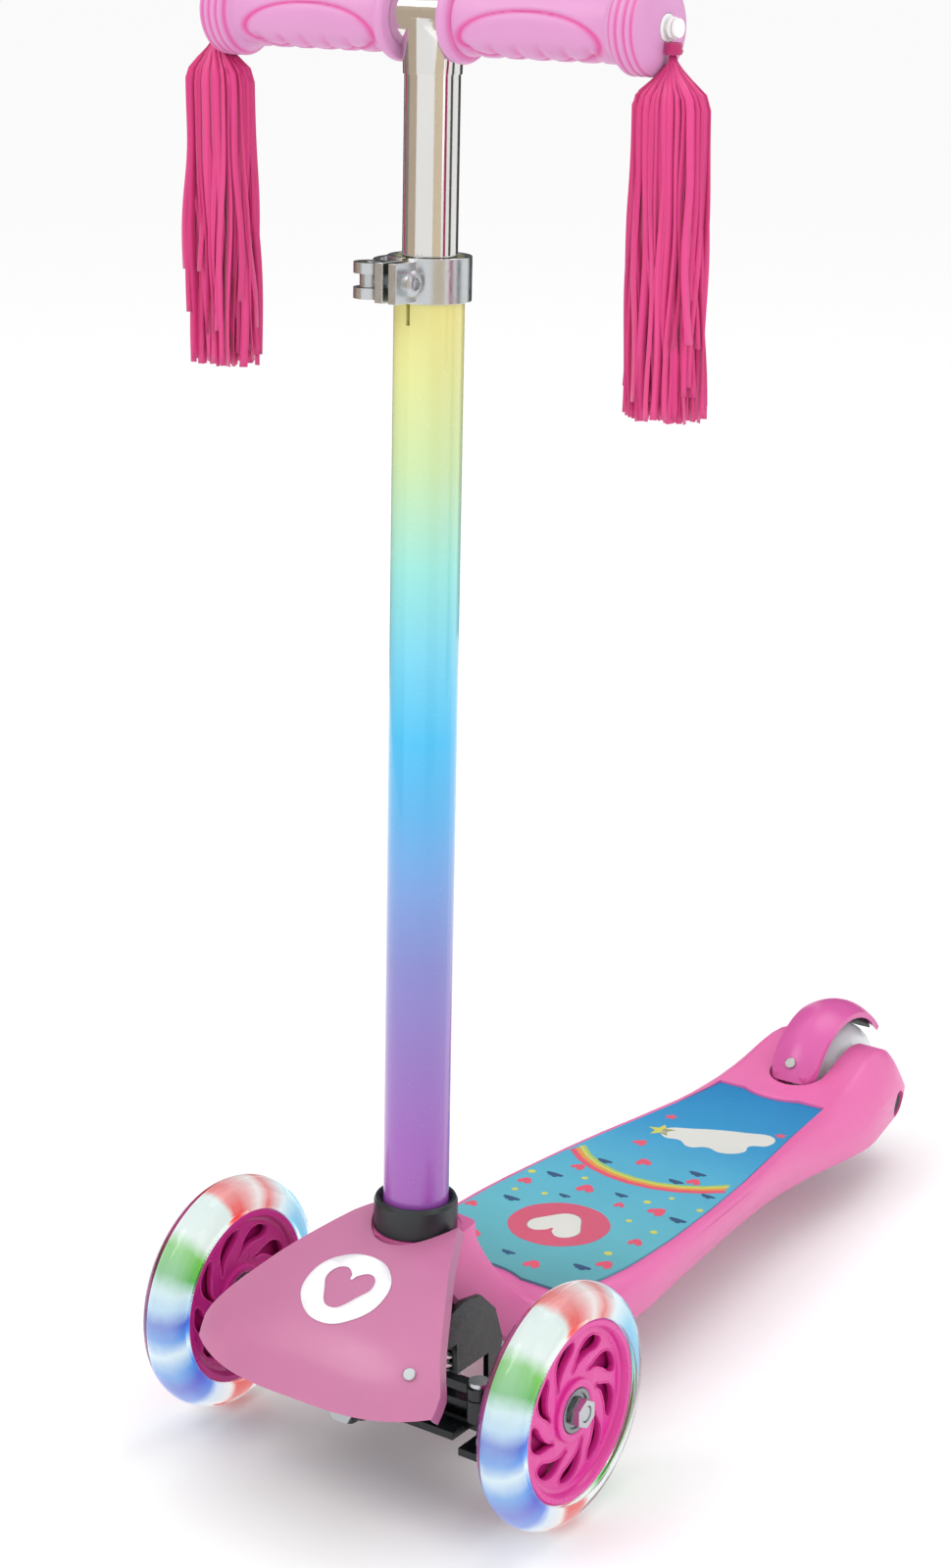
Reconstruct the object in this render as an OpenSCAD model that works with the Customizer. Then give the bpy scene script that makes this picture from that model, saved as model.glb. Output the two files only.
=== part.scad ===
// Lean-to-steer kick scooter for a small child, with two wheels in front and one behind.
// Forward is -Y, up is +Z, and the scooter stands on z = 0.
// The parts are laid out from the front axle and moved once, at the end, by place().

/* [Wheels] */
// Diameter of each front wheel
front_wheel_d = 120; // [100:1:144]
// Diameter of the rear wheel
rear_wheel_d = 80; // [70:1:96]
// Width of a front tyre
front_tyre_w = 25; // [21:0.5:30]
// Width of the rear tyre
rear_tyre_w = 24; // [20:0.5:28]
// Depth of a tyre, from its tread down to the hub
tyre_depth = 15; // [12:0.5:17]
// Distance between the middles of the two front wheels
track = 202; // [180:1:242]
// Distance from the front axle back to the rear axle
wheelbase = 445; // [370:1:534]
// Diameter of the wheel axles
axle_d = 8; // [6:0.5:9]

/* [Deck] */
// Greatest width of the deck
deck_w = 130; // [116:1:156]
// Wall of the deck shell
deck_wall = 3.5; // [2.5:0.1:4.5]
// Thickness of the grip mat
mat_t = 1.8; // [1.2:0.1:3]
// Depth of the recess that holds the grip mat
mat_recess = 1.2; // [0.5:0.1:1.5]
// Height of the deck's front end above the lean pivot
deck_rise = 24; // [22:0.5:28]

/* [Front cover] */
// Distance from the front axle forward to the nose of the cover
cover_reach = 76.5; // [70:0.5:90]
// Wall of the front cover
cover_wall = 3; // [2:0.1:4]
// Depth of the cover's side returns
cover_return = 9; // [6:0.5:12]

/* [Steering] */
// Drop from the front axles to the lean pivot
pivot_drop = 16; // [14:0.5:18]
// Diameter of the lean pivot bolt
pivot_d = 10; // [8:0.5:11]
// Distance from a wheel's middle in to its kingpin
kingpin_inset = 33; // [31:0.5:36]
// Diameter of a kingpin
kingpin_d = 8; // [6:0.5:9]
// Distance from a kingpin forward to the tie rod's pin
steer_arm = 20; // [18:0.5:22]
// Height of the drive pin above the lean pivot
drive_rise = 24; // [22:0.5:26]

/* [Handlebar] */
// Height of the handlebar's axis above the ground
bar_h = 689; // [574:1:827]
// Length of the handlebar over both grips
bar_len = 241; // [210:1:290]
// Diameter of the lower, coloured tube
lower_d = 32; // [28:0.5:36]
// Diameter of the upper, chromed tube
upper_d = 25; // [22:0.5:26]
// Diameter of the cross tube inside the grips
cross_d = 22; // [19:0.5:24]
// Wall of all three tubes
tube_wall = 2; // [1.2:0.1:2.5]
// Length of chromed tube between the clamp and the handlebar's axis
upper_show = 105; // [95:1:160]
// Length of the upper tube held inside the lower one
upper_insert = 150; // [120:1:200]
// Backward lean of the handlebar column in degrees
lean_back = 1.85; // [0:0.05:3]
// Diameter of a grip's barrel
grip_d = 32; // [28:0.5:34]
// Diameter of a grip's outer flange
flange_d = 41; // [36:0.5:46]

/* [Streamers] */
// Length of a streamer from its head to the ends of its ribbons
streamer_len = 144; // [100:1:180]
// Width of a streamer
streamer_w = 39; // [25:1:44]
// Thickness of a streamer
streamer_t = 24; // [14:1:30]

/* [Clamp] */
// Height of the clamp band
clamp_h = 20; // [16:0.5:26]
// Wall of the clamp band
clamp_wall = 3; // [2:0.1:4]
// Diameter of the clamp bolt
clamp_bolt_d = 6; // [5:0.5:7]

/* [Fits] */
// Radial clearance of a running fit
run_gap = 0.05; // [0.02:0.01:0.1]
// Clearance between fixed pieces
seat_gap = 0.02; // [0.01:0.01:0.05]
// End clearance between a moving piece and what holds it
end_gap = 0.15; // [0.1:0.05:0.4]

/* [Hidden] */
$fn = 64;
front_r = front_wheel_d / 2;
rear_r = rear_wheel_d / 2;
axle_r = axle_d / 2;
wheel_x = track / 2;
pivot_z = front_r - pivot_drop;
kingpin_x = wheel_x - kingpin_inset;
kingpin_r = kingpin_d / 2;

// The whole scooter is centred between its nose and the back of its rear wheel.
place_y = -(wheelbase + rear_r - cover_reach) / 2;

// 608 ball bearings, and the hub that holds a pair of them
bearing_r = 11;
bearing_t = 7;
hub_half = 9;
hub_boss_r = 15.5;
hub_rim_t = 7;
spacer_r = axle_r + 2;

// Lean pivot lugs on the housing, and the beam between them
lug_t = 8;
front_lug_y = -28;
rear_lug_y = 20;
lug_half = 10;
// Bracket under the cover that takes the cover's screw
arm_y = -43;
arm_w = 9;
arm_reach = 52;
arm_low = -4;
arm_high = 3;
boss_r = 4.5;
// Cheeks that close the housing's sides: outline as place along Y and height above the pivot,
// cut away over the beam and the tie rod so that both can lean
cheek_x = 43.5;
cheek_t = 3;
cheek_outline = [
    [-54, 22], [-36, 18], [-36, 34.5], [-8, 34.5], [-8, 18.5], [18, 18.5], [18, 4], [27, 8],
    [30, 22], [24, 40], [12, 52], [-2, 54.5], [-12, 52], [-24, 46.5], [-40, 38.5], [-50, 31]
];
pivot_r = pivot_d / 2;
beam_half_h = 7;
beam_half_y = 10;
plate_z = pivot_z + 32;
plate_t = 8;
drive_pin_r = 2.5;
tie_pin_r = 3;
tie_z = pivot_z + 20;
tie_t = 5;
lug_disc_r = 10;
knuckle_wall_x = kingpin_x + 10;
knuckle_wall_t = 5;
axle_boss_x = wheel_x - hub_half - 4.6;
spring_x = 34;
spring_r = 6.5;
spring_wire = 1.1;

// Handlebar column: its axis leans back and passes through this point
column_y = 18.3;
socket_r = lower_d / 2 + 2.8;
socket_foot = pivot_z + 44;
collar_z = pivot_z + 72;
collar_h = 16;
collar_gap = 0.3;
tube_screw_seat = 24.8;
collar_r = lower_d / 2 + 4.5;
collar_bore_r = lower_d / 2 + 0.6;
lower_top = (bar_h - upper_show) / cos(lean_back);
column_top = bar_h / cos(lean_back);
clamp_z = lower_top + 2 - clamp_h;
slot_w = 2;
ear_y = -25;
ear_in = 1.5;
ear_out = 6;
cam_x = -14;
cam_r = 7.8;
sleeve_r = cross_d / 2 + 2.5;
sleeve_half = 14;
bar_half = bar_len / 2;
grip_in = sleeve_half + 0.3;
plug_pin_r = 2.5;

// Rear end: a slot in the tail for the wheel and its fender
tail_slot = rear_tyre_w / 2 + 5;
slot_y = wheelbase - 43;
fender_w = tail_slot - 2;
fender_y = wheelbase - 9;
fender_z = rear_r + 6;
fender_r = rear_r + 11.2;
fender_t = 3.2;
brake_y = wheelbase - 51;
brake_z = rear_r + 14;
brake_pin_r = 2.5;
pad_gap = 2.2;

// Deck stations, front to back: place along the deck (0 at its front end, 1 at the rear axle),
// then half widths as shares of the deck's and heights above the line through both axles,
// for the top rim, the crease in the side and the bottom edge
deck_front = 76;
deck_stations = [
    [0.00, 0.71, 23.2, 0.77, 15, 0.74, 0],
    [0.07, 0.88, 23.0, 0.95, 15, 0.91, -5],
    [0.15, 0.94, 22.8, 1.00, 14, 0.94, -8],
    [0.26, 0.94, 22.4, 0.98, 13, 0.89, -8],
    [0.37, 0.90, 21.8, 0.93, 13, 0.83, -8],
    [0.48, 0.84, 21.2, 0.87, 12, 0.77, -8],
    [0.59, 0.75, 20.6, 0.81, 11, 0.74, -7],
    [0.70, 0.66, 20.2, 0.79, 9, 0.75, -8],
    [0.80, 0.61, 21.0, 0.81, 8, 0.80, -10],
    [0.88, 0.58, 25.0, 0.80, 9, 0.80, -12],
    [0.96, 0.54, 33.5, 0.74, 12, 0.72, -12],
    [1.015, 0.53, 30.0, 0.69, 9, 0.67, -10],
    [1.045, 0.51, 17.0, 0.63, 5, 0.60, -4]
];
smooth_steps = 3;
rib_depth = 8;
rib_pitch = 41;

// Neck stations, from the collar down to the deck: place behind the column's foot, height above
// the lean pivot, downward slope of the path in degrees, half width and half thickness
neck_stations = [
    [4.9, 72, 90, 23.5, 21.4],
    [6.4, 60, 84, 25.5, 19.9],
    [16, 43, 58, 29, 16.5],
    [29, 26, 50, 35, 15],
    [44, 13, 22, 43, 13],
    [62, 9, 0, 49, 14]
];

// Cover stations, from the collar down to the nose: the edge's half width as a share of the
// cover's, its place back from the nose and height above the lean pivot, then the same two
// for the middle, and how square the section is
cover_half = wheel_x - front_tyre_w / 2 - 18;
cover_stations = [
    [0.35, 100, 77, 74, 72, 2.2],
    [0.43, 89.5, 75.5, 66, 69.5, 2.2],
    [0.57, 70.5, 69, 54, 66, 2.3],
    [0.71, 54, 61, 40.5, 61, 2.4],
    [0.85, 37, 51, 25, 53.5, 2.6],
    [0.94, 27.5, 43, 14, 45, 2.8],
    [1.00, 22, 35, 5.5, 35.5, 3.0],
    [0.99, 16, 26, 0, 22, 3.2]
];
cover_cols = 12;

// Grip mat: place along the deck and half width as a share of the deck's
mat_tilt = 1.55;
mat_front = 84;
mat_rear = wheelbase - 74;
mat_inset = 5;
neck_end = 46;
neck_curve = 43;

// ---- Small tools ----

module place() {
    translate([0, place_y, 0]) children();
}

// Left is the rider's left, +X; the right-hand copy is its mirror image.
module side(left) {
    mirror([left ? 0 : 1, 0, 0]) children();
}

module both_sides() {
    children();
    mirror([1, 0, 0]) children();
}

module block(low, high) {
    translate(low) cube(high - low);
}

module rod_x(x0, x1, r) {
    translate([x0, 0, 0]) rotate([0, 90, 0]) cylinder(h = x1 - x0, r = r);
}

module rod_y(y0, y1, r) {
    translate([0, y0, 0]) rotate([-90, 0, 0]) cylinder(h = y1 - y0, r = r);
}

module rod_z(z0, z1, r) {
    translate([0, 0, z0]) cylinder(h = z1 - z0, r = r);
}

module ring_z(z0, z1, r_out, r_in) {
    difference() {
        rod_z(z0, z1, r_out);
        rod_z(z0 - 1, z1 + 1, r_in);
    }
}

module ring_x(x0, x1, r_out, r_in) {
    rotate([0, 90, 0]) ring_z(x0, x1, r_out, r_in);
}

module hex_nut(h, across, bore_r) {
    difference() {
        cylinder(h = h, d = across / cos(30), $fn = 6);
        translate([0, 0, -1]) cylinder(h = h + 2, r = bore_r);
    }
}

// Turns a section drawn with its radius along x and its width along y about the X axis.
module turn_x() {
    rotate([0, 90, 0]) rotate_extrude() children();
}

// Puts a piece that is drawn about a vertical axis on to the leaning handlebar column.
module column() {
    translate([0, column_y, 0]) rotate([-lean_back, 0, 0]) children();
}

module on_front_axle() {
    translate([0, 0, front_r]) children();
}

module on_rear_axle() {
    translate([0, wheelbase, rear_r]) children();
}

// A smooth curve through rows of numbers
function blend(a, b, c, d, t) = 0.5 * (2 * b + (c - a) * t + (2 * a - 5 * b + 4 * c - d) * t * t
    + (3 * b - a - 3 * c + d) * t * t * t);
function row(rows, i) = rows[max(0, min(len(rows) - 1, i))];
function at(rows, s) = let (i = min(floor(s), len(rows) - 2))
    blend(row(rows, i - 1), row(rows, i), row(rows, i + 1), row(rows, i + 2), s - i);
function smooth(rows, steps) = [
    for (i = [0 : (len(rows) - 1) * steps]) at(rows, i / steps)
];

// Rounds the corners of a closed outline
function cut_corners(p) = [
    for (i = [0 : len(p) - 1]) let (q = p[(i + 1) % len(p)])
        each [0.75 * p[i] + 0.25 * q, 0.25 * p[i] + 0.75 * q]
];

// Skins a list of rings that all have the same number of points. A ring that goes out along a
// sheet and back along its other side has its ends closed straight across the sheet.
module skin(rings, sheet = false) {
    m = len(rings[0]);
    last = (len(rings) - 1) * m;
    caps = sheet
        ? [for (j = [0 : m / 2 - 2]) each [
            [j, j + 1, m - 2 - j], [j, m - 2 - j, m - 1 - j],
            [last + j + 1, last + j, last + m - 2 - j], [last + m - 2 - j, last + j, last + m - 1 - j]]]
        : [[for (j = [0 : m - 1]) j], [for (j = [0 : m - 1]) last + m - 1 - j]];
    polyhedron(
        points = [for (r = rings) each r],
        faces = concat(
            [for (i = [0 : len(rings) - 2], j = [0 : m - 1])
                [i * m + j, (i + 1) * m + j, (i + 1) * m + (j + 1) % m]],
            [for (i = [0 : len(rings) - 2], j = [0 : m - 1])
                [i * m + j, (i + 1) * m + (j + 1) % m, i * m + (j + 1) % m]],
            caps
        )
    );
}

// A helical spring about the Z axis
module coil(r, wire, turns, h) {
    steps = turns * 14;
    skin([for (i = [0 : steps]) let (a = i / 14 * 360, z = wire + (h - 2 * wire) * i / steps)
        [for (b = [0 : 60 : 300])
            [(r + wire * cos(b)) * cos(a), (r + wire * cos(b)) * sin(a), z + wire * sin(b)]]
    ]);
}

// ---- Deck ----

function axle_line(y) = pivot_z + (rear_r - pivot_z) * y / wheelbase;
function deck_y(u) = deck_front + u * (wheelbase - deck_front);

// One ring of the deck, drawn in by a wall and cut open downwards when it is the cavity
function deck_ring(s, wall, drop) = let (
        y = deck_y(s[0]), z = axle_line(y), half = deck_w / 2,
        top = s[1] * half - wall, top_z = z + s[2] - wall,
        mid = s[3] * half - wall, mid_z = z + s[4],
        low = s[5] * half - wall, low_z = z + s[6] - drop,
        side_points = [
            [top - 7, top_z], [top, top_z - 0.5], [mid, mid_z], [low, low_z + 5],
            [low - 3, low_z], [low - 12, low_z]
        ],
        outline = concat(
            [for (p = side_points) p],
            [for (i = [len(side_points) - 1 : -1 : 0]) [-side_points[i][0], side_points[i][1]]]
        ),
        rounded = cut_corners(cut_corners(outline))
    ) [for (p = rounded) [p[0], y, p[1]]];

module deck_outer() {
    skin([for (s = smooth(deck_stations, smooth_steps)) deck_ring(s, 0, 0)]);
}

module deck_cavity() {
    rows = smooth(deck_stations, 2);
    inner = [for (i = [0 : len(rows) - 1]) let (
        shift = i == 0 ? deck_wall : i == len(rows) - 1 ? -deck_wall : 0,
        u = rows[i][0] + shift / (wheelbase - deck_front))
        [u, rows[i][1], rows[i][2], rows[i][3], rows[i][4], rows[i][5], rows[i][6]]];
    skin([for (s = inner) deck_ring(s, deck_wall, 20)]);
}

// Ribs, slot walls and bosses that are left standing inside the deck's cavity
module deck_ribs() {
    rib = deck_wall * 0.7;
    top = pivot_z + 60;
    tilt_deck() translate([0, -mat_front, -mat_recess - deck_wall - rib_depth]) {
        for (x = [-24, 0, 24]) block([x - rib / 2, deck_front, 0], [x + rib / 2, slot_y, top]);
        for (y = [deck_y(0.1) : rib_pitch : slot_y - 30])
            block([-deck_w, y - rib / 2, 0], [deck_w, y + rib / 2, top]);
    }
    block([-tail_slot - deck_wall, slot_y, 0], [tail_slot + deck_wall, wheelbase + rear_r, top]);
    translate([0, slot_y, 0]) rod_z(0, top, tail_slot + deck_wall);
    on_rear_axle() rod_x(-deck_w, deck_w, axle_r + 5);
    translate([0, brake_y, brake_z]) rod_x(-tail_slot - 8, tail_slot + 8, brake_pin_r + 3.5);
    for (x = [-1, 1]) translate([x * housing_screw_x, housing_screw_y, 0])
        rod_z(tongue_z, top, 5.5);
}

// The neck bends down from the collar and runs into the deck.
function neck_ring(s, half, low, high) = let (
        outline = [
            [half - 5, high], [half, high - 5], [half, low + 5], [half - 5, low],
            [5 - half, low], [-half, low + 5], [-half, high - 5], [5 - half, high]
        ]
    ) [for (p = cut_corners(outline))
        [p[0], column_y + s[0] + p[1] * sin(s[2]), pivot_z + s[1] + p[1] * cos(s[2])]];

module neck_outer() {
    skin([for (s = smooth(neck_stations, smooth_steps)) neck_ring(s, s[3], -s[4], s[4])]);
}

module neck_cavity() {
    difference() {
        skin([for (s = smooth(neck_stations, smooth_steps))
            neck_ring(s, s[3] - deck_wall, -s[4] - 12, s[4] - deck_wall)]);
        block([-deck_w, -deck_w, collar_z - deck_wall], [deck_w, deck_w, collar_z + deck_w]);
        for (x = [-1, 1]) translate([x * housing_screw_x, housing_screw_y, 0])
            rod_z(tongue_z, collar_z, 5.5);
    }
}

module wheel_slot(grow) {
    translate([0, slot_y, 0]) rod_z(-1, bar_h, tail_slot + grow);
    block([-tail_slot - grow, slot_y, -1], [tail_slot + grow, wheelbase + 2 * rear_r, bar_h]);
}

// The inner end of each rear axle recess
function recess_x() = at([for (s = deck_stations) s[3] * deck_w / 2], 10.6) - 9;
rear_face = recess_x();

module deck() {
    color("#e86fb0") place() difference() {
        union() {
            difference() {
                deck_outer();
                difference() {
                    deck_cavity();
                    deck_ribs();
                }
            }
            difference() {
                neck_outer();
                neck_cavity();
            }
        }
        wheel_slot(0);
        mat_solid(-mat_recess, 20, 0.2);
        on_rear_axle() rod_x(-deck_w, deck_w, axle_r + seat_gap);
        on_rear_axle() both_sides() rod_x(rear_face, deck_w, 8);
        translate([0, brake_y, brake_z])
            rod_x(-tail_slot - 7, tail_slot + 7, brake_pin_r + seat_gap);
        column() rod_z(socket_foot, collar_z + 10, lower_d / 2 + seat_gap);
        column() rod_z(collar_z + collar_gap - seat_gap, collar_z + 10, collar_r + 2);
        for (x = [-1, 1]) translate([x * housing_screw_x, housing_screw_y, 0])
            rod_z(tongue_z - 1, tongue_z + 9, 1.8);
        tube_screw_hole(lower_d / 2, 40, 2.2);
        tube_screw_hole(tube_screw_seat - seat_gap, 45, 4.3);
    }
}

// ---- Grip mat ----

module tilt_deck() {
    front_z = axle_line(mat_front) + deck_rise;
    translate([0, mat_front, front_z]) rotate([-mat_tilt, 0, 0]) children();
}

function mat_half(y) = let (u = (y - deck_front) / (wheelbase - deck_front))
    lookup(u, [for (s = deck_stations) [s[0], s[1] * deck_w / 2 - mat_inset]]);

// The outline follows the deck's rim and curves round the neck and the fender.
module mat_outline(grow) {
    ys = [for (i = [0 : 20]) mat_front + (mat_rear - mat_front) * i / 20];
    difference() {
        polygon(concat(
            [for (y = ys) [mat_half(y) + grow, y - mat_front]],
            [for (i = [20 : -1 : 0]) [-mat_half(ys[i]) - grow, ys[i] - mat_front]]
        ));
        translate([0, slot_y - mat_front]) circle(r = tail_slot + 19 - grow);
        translate([0, neck_end - mat_front]) circle(r = neck_curve - grow);
    }
}

module mat_solid(low, high, grow) {
    tilt_deck() translate([0, 0, low]) linear_extrude(high - low) mat_outline(grow);
}

module grip_mat() {
    color("#4fb3d9") place() mat_solid(-mat_recess + seat_gap, mat_t - mat_recess, 0);
}

// ---- Front cover ----

function cover_point(s, t) = let (k = pow(abs(t), s[5]))
    [cover_half * s[0] * t, -cover_reach + s[3] + (s[1] - s[3]) * k,
        pivot_z + s[4] + (s[2] - s[4]) * k];

// Points across one station, from one return's edge over the face to the other's
function cover_row(s) = let (
        face = [for (j = [-cover_cols : cover_cols]) cover_point(s, j / cover_cols)],
        back = cover_return * [-0.12, 0.72, -0.68],
        left = face[0] + [-back[0], back[1], back[2]],
        right = face[len(face) - 1] + back
    ) concat([left], face, [right]);

function unit(v) = v / max(norm(v), 0.0001);

module front_cover_shell() {
    rows = [for (s = smooth(cover_stations, 2)) cover_row(s)];
    n = len(rows);
    m = len(rows[0]);
    inner = [for (i = [0 : n - 1]) [for (j = [0 : m - 1]) let (
        across = rows[i][min(j + 1, m - 1)] - rows[i][max(j - 1, 0)],
        along = rows[min(i + 1, n - 1)][j] - rows[max(i - 1, 0)][j])
        rows[i][j] + cover_wall * unit(cross(across, along))]];
    skin([for (i = [0 : n - 1]) concat(
        [for (j = [0 : m - 1]) rows[i][j]],
        [for (j = [m - 1 : -1 : 0]) inner[i][j]]
    )], sheet = true);
}

// The screw stands square to the face: its place between two cover stations, its place across
// the cover, and how far it tilts forward and to the left
screw_station = 5.18;
screw_across = 0.81;
screw_tilt = [37.6, 21.5, 0];
screw_r = 1.5;

module on_cover() {
    translate(cover_point(at(cover_stations, screw_station), screw_across))
        rotate(screw_tilt) children();
}

module front_cover() {
    color("#ec7fb8") place() difference() {
        front_cover_shell();
        column() rod_z(0, collar_z + 40, collar_r + 0.3);
        neck_outer();
        on_cover() rod_z(-cover_wall - 2, 3, screw_r + 0.3);
    }
}

module cover_screw() {
    color("silver") place() on_cover() {
        rod_z(-14, 0.5, screw_r);
        rod_z(0.15, 1.7, 3);
    }
}

// ---- Steering housing ----

housing_screw_x = 14;
housing_screw_y = 64;
tongue_z = pivot_z + 14;
tongue_t = 6;

module collar() {
    color("#23282b") place() column() difference() {
        union() {
            rod_z(collar_z + collar_gap, collar_z + collar_h - 2, collar_r);
            translate([0, 0, collar_z + collar_h - 2]) cylinder(h = 2, r1 = collar_r, r2 = collar_r - 1);
        }
        rod_z(collar_z - 1, collar_z + collar_h + 1, lower_d / 2 + seat_gap);
        translate([0, 0, collar_z + collar_h - 3]) cylinder(h = 4, r1 = collar_bore_r, r2 = collar_bore_r + 2);
    }
}

module steering_housing() {
    drive_z = pivot_z + drive_rise;
    color("#1d2224") place() difference() {
        union() {
            column() rod_z(socket_foot - 6, collar_z - deck_wall - 1.5, socket_r);
            both_sides() {
                block([0, -10, plate_z], [cheek_x + 0.5, 14, plate_z + plate_t]);
                translate([cheek_x, 0, pivot_z]) rotate([90, 0, 90])
                    linear_extrude(cheek_t) polygon(cheek_outline);
            }
            block([-23, 0, plate_z], [23, 36, plate_z + plate_t]);
            block([-12, front_lug_y - lug_t, plate_z], [12, 0, plate_z + plate_t]);
            pivot_lug(front_lug_y - lug_t);
            pivot_lug(rear_lug_y);
            block([-6, -14, drive_z - 6], [6, -11, plate_z + 1]);
            block([-21, rear_lug_y + 2, tongue_z - tongue_t], [21, 74, tongue_z - seat_gap]);
            for (x = [-22, 22]) block([x - 3, -10, plate_z - 8], [x + 3, 14, plate_z + 1]);
            block([-10, arm_y - arm_w, plate_z + arm_low], [10, front_lug_y, plate_z + arm_high]);
            block([0, arm_y - arm_w, plate_z + arm_low], [arm_reach, arm_y, plate_z + arm_high]);
            on_cover() rod_z(-14, -cover_wall - 0.6, boss_r);
        }
        on_cover() rod_z(-15, 0, screw_r + seat_gap);
        translate([0, 0, pivot_z]) rod_y(-60, 60, pivot_r + seat_gap);
        translate([0, rear_lug_y + lug_t, pivot_z]) rod_y(0, 8, pivot_r + 5.5);
        translate([0, 0, drive_z]) rod_y(front_lug_y - 6, 0, drive_pin_r + seat_gap);
        column() rod_z(socket_foot, collar_z + 10, lower_d / 2 + seat_gap);
        for (x = [-1, 1]) translate([x * housing_screw_x, housing_screw_y, 0]) {
            rod_z(0, bar_h, 2.2);
        }
        tube_screw_hole(0, 40, 2.2);
    }
}

module pivot_lug(y) {
    block([-lug_half, y, pivot_z], [lug_half, y + lug_t, plate_z + 1]);
    translate([0, y, pivot_z]) rod_y(0, lug_t, lug_half);
}

module housing_screws() {
    color("silver") place() for (x = [-1, 1]) translate([x * housing_screw_x, housing_screw_y, 0]) {
        rod_z(tongue_z - tongue_t - 2.5, tongue_z - tongue_t - seat_gap, 4);
        rod_z(tongue_z - tongue_t - 1, tongue_z + 8, 1.75);
    }
}

module pivot_bolt() {
    color("silver") place() translate([0, 0, pivot_z]) {
        translate([0, front_lug_y - lug_t - 4, 0]) rotate([-90, 0, 0])
            cylinder(h = 4 - seat_gap, r = pivot_r + 3.5, $fn = 6);
        rod_y(front_lug_y - lug_t - 3, rear_lug_y + lug_t + 7, pivot_r);
    }
}

module pivot_nut() {
    color("silver") place() translate([0, rear_lug_y + lug_t + seat_gap, pivot_z])
        rotate([-90, 0, 0]) hex_nut(6, pivot_d + 7, pivot_r + seat_gap);
}

module drive_pin() {
    color("silver") place() translate([0, 0, pivot_z + drive_rise])
        rod_y(front_lug_y - 5.5, -11, drive_pin_r);
}

module return_springs() {
    foot = pivot_z + beam_half_h + 0.3;
    color("#8d9396") place() for (x = [-spring_x, spring_x]) translate([x, 0, foot])
        coil(spring_r, spring_wire, 5, plate_z - seat_gap - foot);
}

// ---- Beam, knuckles and tie rod ----

module axle_beam() {
    color("#202527") place() difference() {
        union() {
            translate([0, 0, pivot_z]) rod_y(front_lug_y + end_gap, rear_lug_y - end_gap, 12);
            block([-kingpin_x, -beam_half_y, pivot_z - beam_half_h],
                [kingpin_x, beam_half_y, pivot_z + beam_half_h]);
            both_sides() translate([kingpin_x, 0, pivot_z])
                rod_z(-beam_half_h, beam_half_h, beam_half_y);
            block([-kingpin_x + 14, -22, pivot_z - beam_half_h - 1],
                [kingpin_x - 14, 16, pivot_z - beam_half_h + 3]);
        }
        translate([0, 0, pivot_z]) rod_y(-60, 60, pivot_r + run_gap);
        both_sides() translate([kingpin_x, 0, pivot_z]) rod_z(-30, 30, kingpin_r + seat_gap);
        both_sides() block([18, -60, pivot_z - 2], [kingpin_x - 14, -beam_half_y + 5, pivot_z + 3]);
        both_sides() block([18, beam_half_y - 5, pivot_z - 2], [kingpin_x - 14, 60, pivot_z + 3]);
    }
}

module kingpins() {
    top = pivot_z + beam_half_h + 6.2;
    low = pivot_z - beam_half_h - 6.2;
    color("silver") place() both_sides() translate([kingpin_x, 0, 0]) {
        rod_z(low - 1, top + 1, kingpin_r);
        rod_z(top + end_gap, top + 3, kingpin_r + 2.4);
        rod_z(low - 2.5, low - end_gap, kingpin_r + 2);
    }
}

module knuckle(left) {
    top = pivot_z + beam_half_h;
    low = pivot_z - beam_half_h;
    wall_end = knuckle_wall_x + knuckle_wall_t;
    color("#262b2e") place() side(left) difference() {
        union() {
            translate([kingpin_x, 0, 0]) rod_z(top + end_gap, top + 6, lug_disc_r);
            translate([kingpin_x, 0, 0]) rod_z(low - 6, low - end_gap, lug_disc_r);
            block([kingpin_x, -lug_disc_r, top + end_gap], [wall_end, lug_disc_r, top + 6]);
            block([kingpin_x, -lug_disc_r, low - 6], [wall_end, lug_disc_r, low - end_gap]);
            block([kingpin_x - 8, -26, low - 5], [wall_end, -lug_disc_r + 1, low - 1]);
            block([knuckle_wall_x + 1.5, -lug_disc_r, low - 6], [wall_end, lug_disc_r, front_r + 10]);
            on_front_axle() rod_x(knuckle_wall_x + 1.5, axle_boss_x, 9);
            block([kingpin_x - 5, -steer_arm, top + end_gap], [kingpin_x + 5, -8, tie_z - 1.5]);
            translate([kingpin_x, -steer_arm, 0]) rod_z(top + end_gap, tie_z - 1.5, 6);
        }
        translate([kingpin_x, 0, 0]) rod_z(0, front_wheel_d, kingpin_r + run_gap);
        on_front_axle() rod_x(0, wheel_x, axle_r + seat_gap);
        translate([kingpin_x, -steer_arm, 0]) rod_z(top, tie_z, tie_pin_r + seat_gap);
    }
}

module tie_pin(left) {
    color("silver") place() side(left) translate([kingpin_x, -steer_arm, 0]) {
        rod_z(pivot_z + beam_half_h + 1, tie_z + tie_t + 1, tie_pin_r);
        rod_z(tie_z + tie_t + end_gap, tie_z + tie_t + 2.5, tie_pin_r + 2);
    }
}

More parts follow.
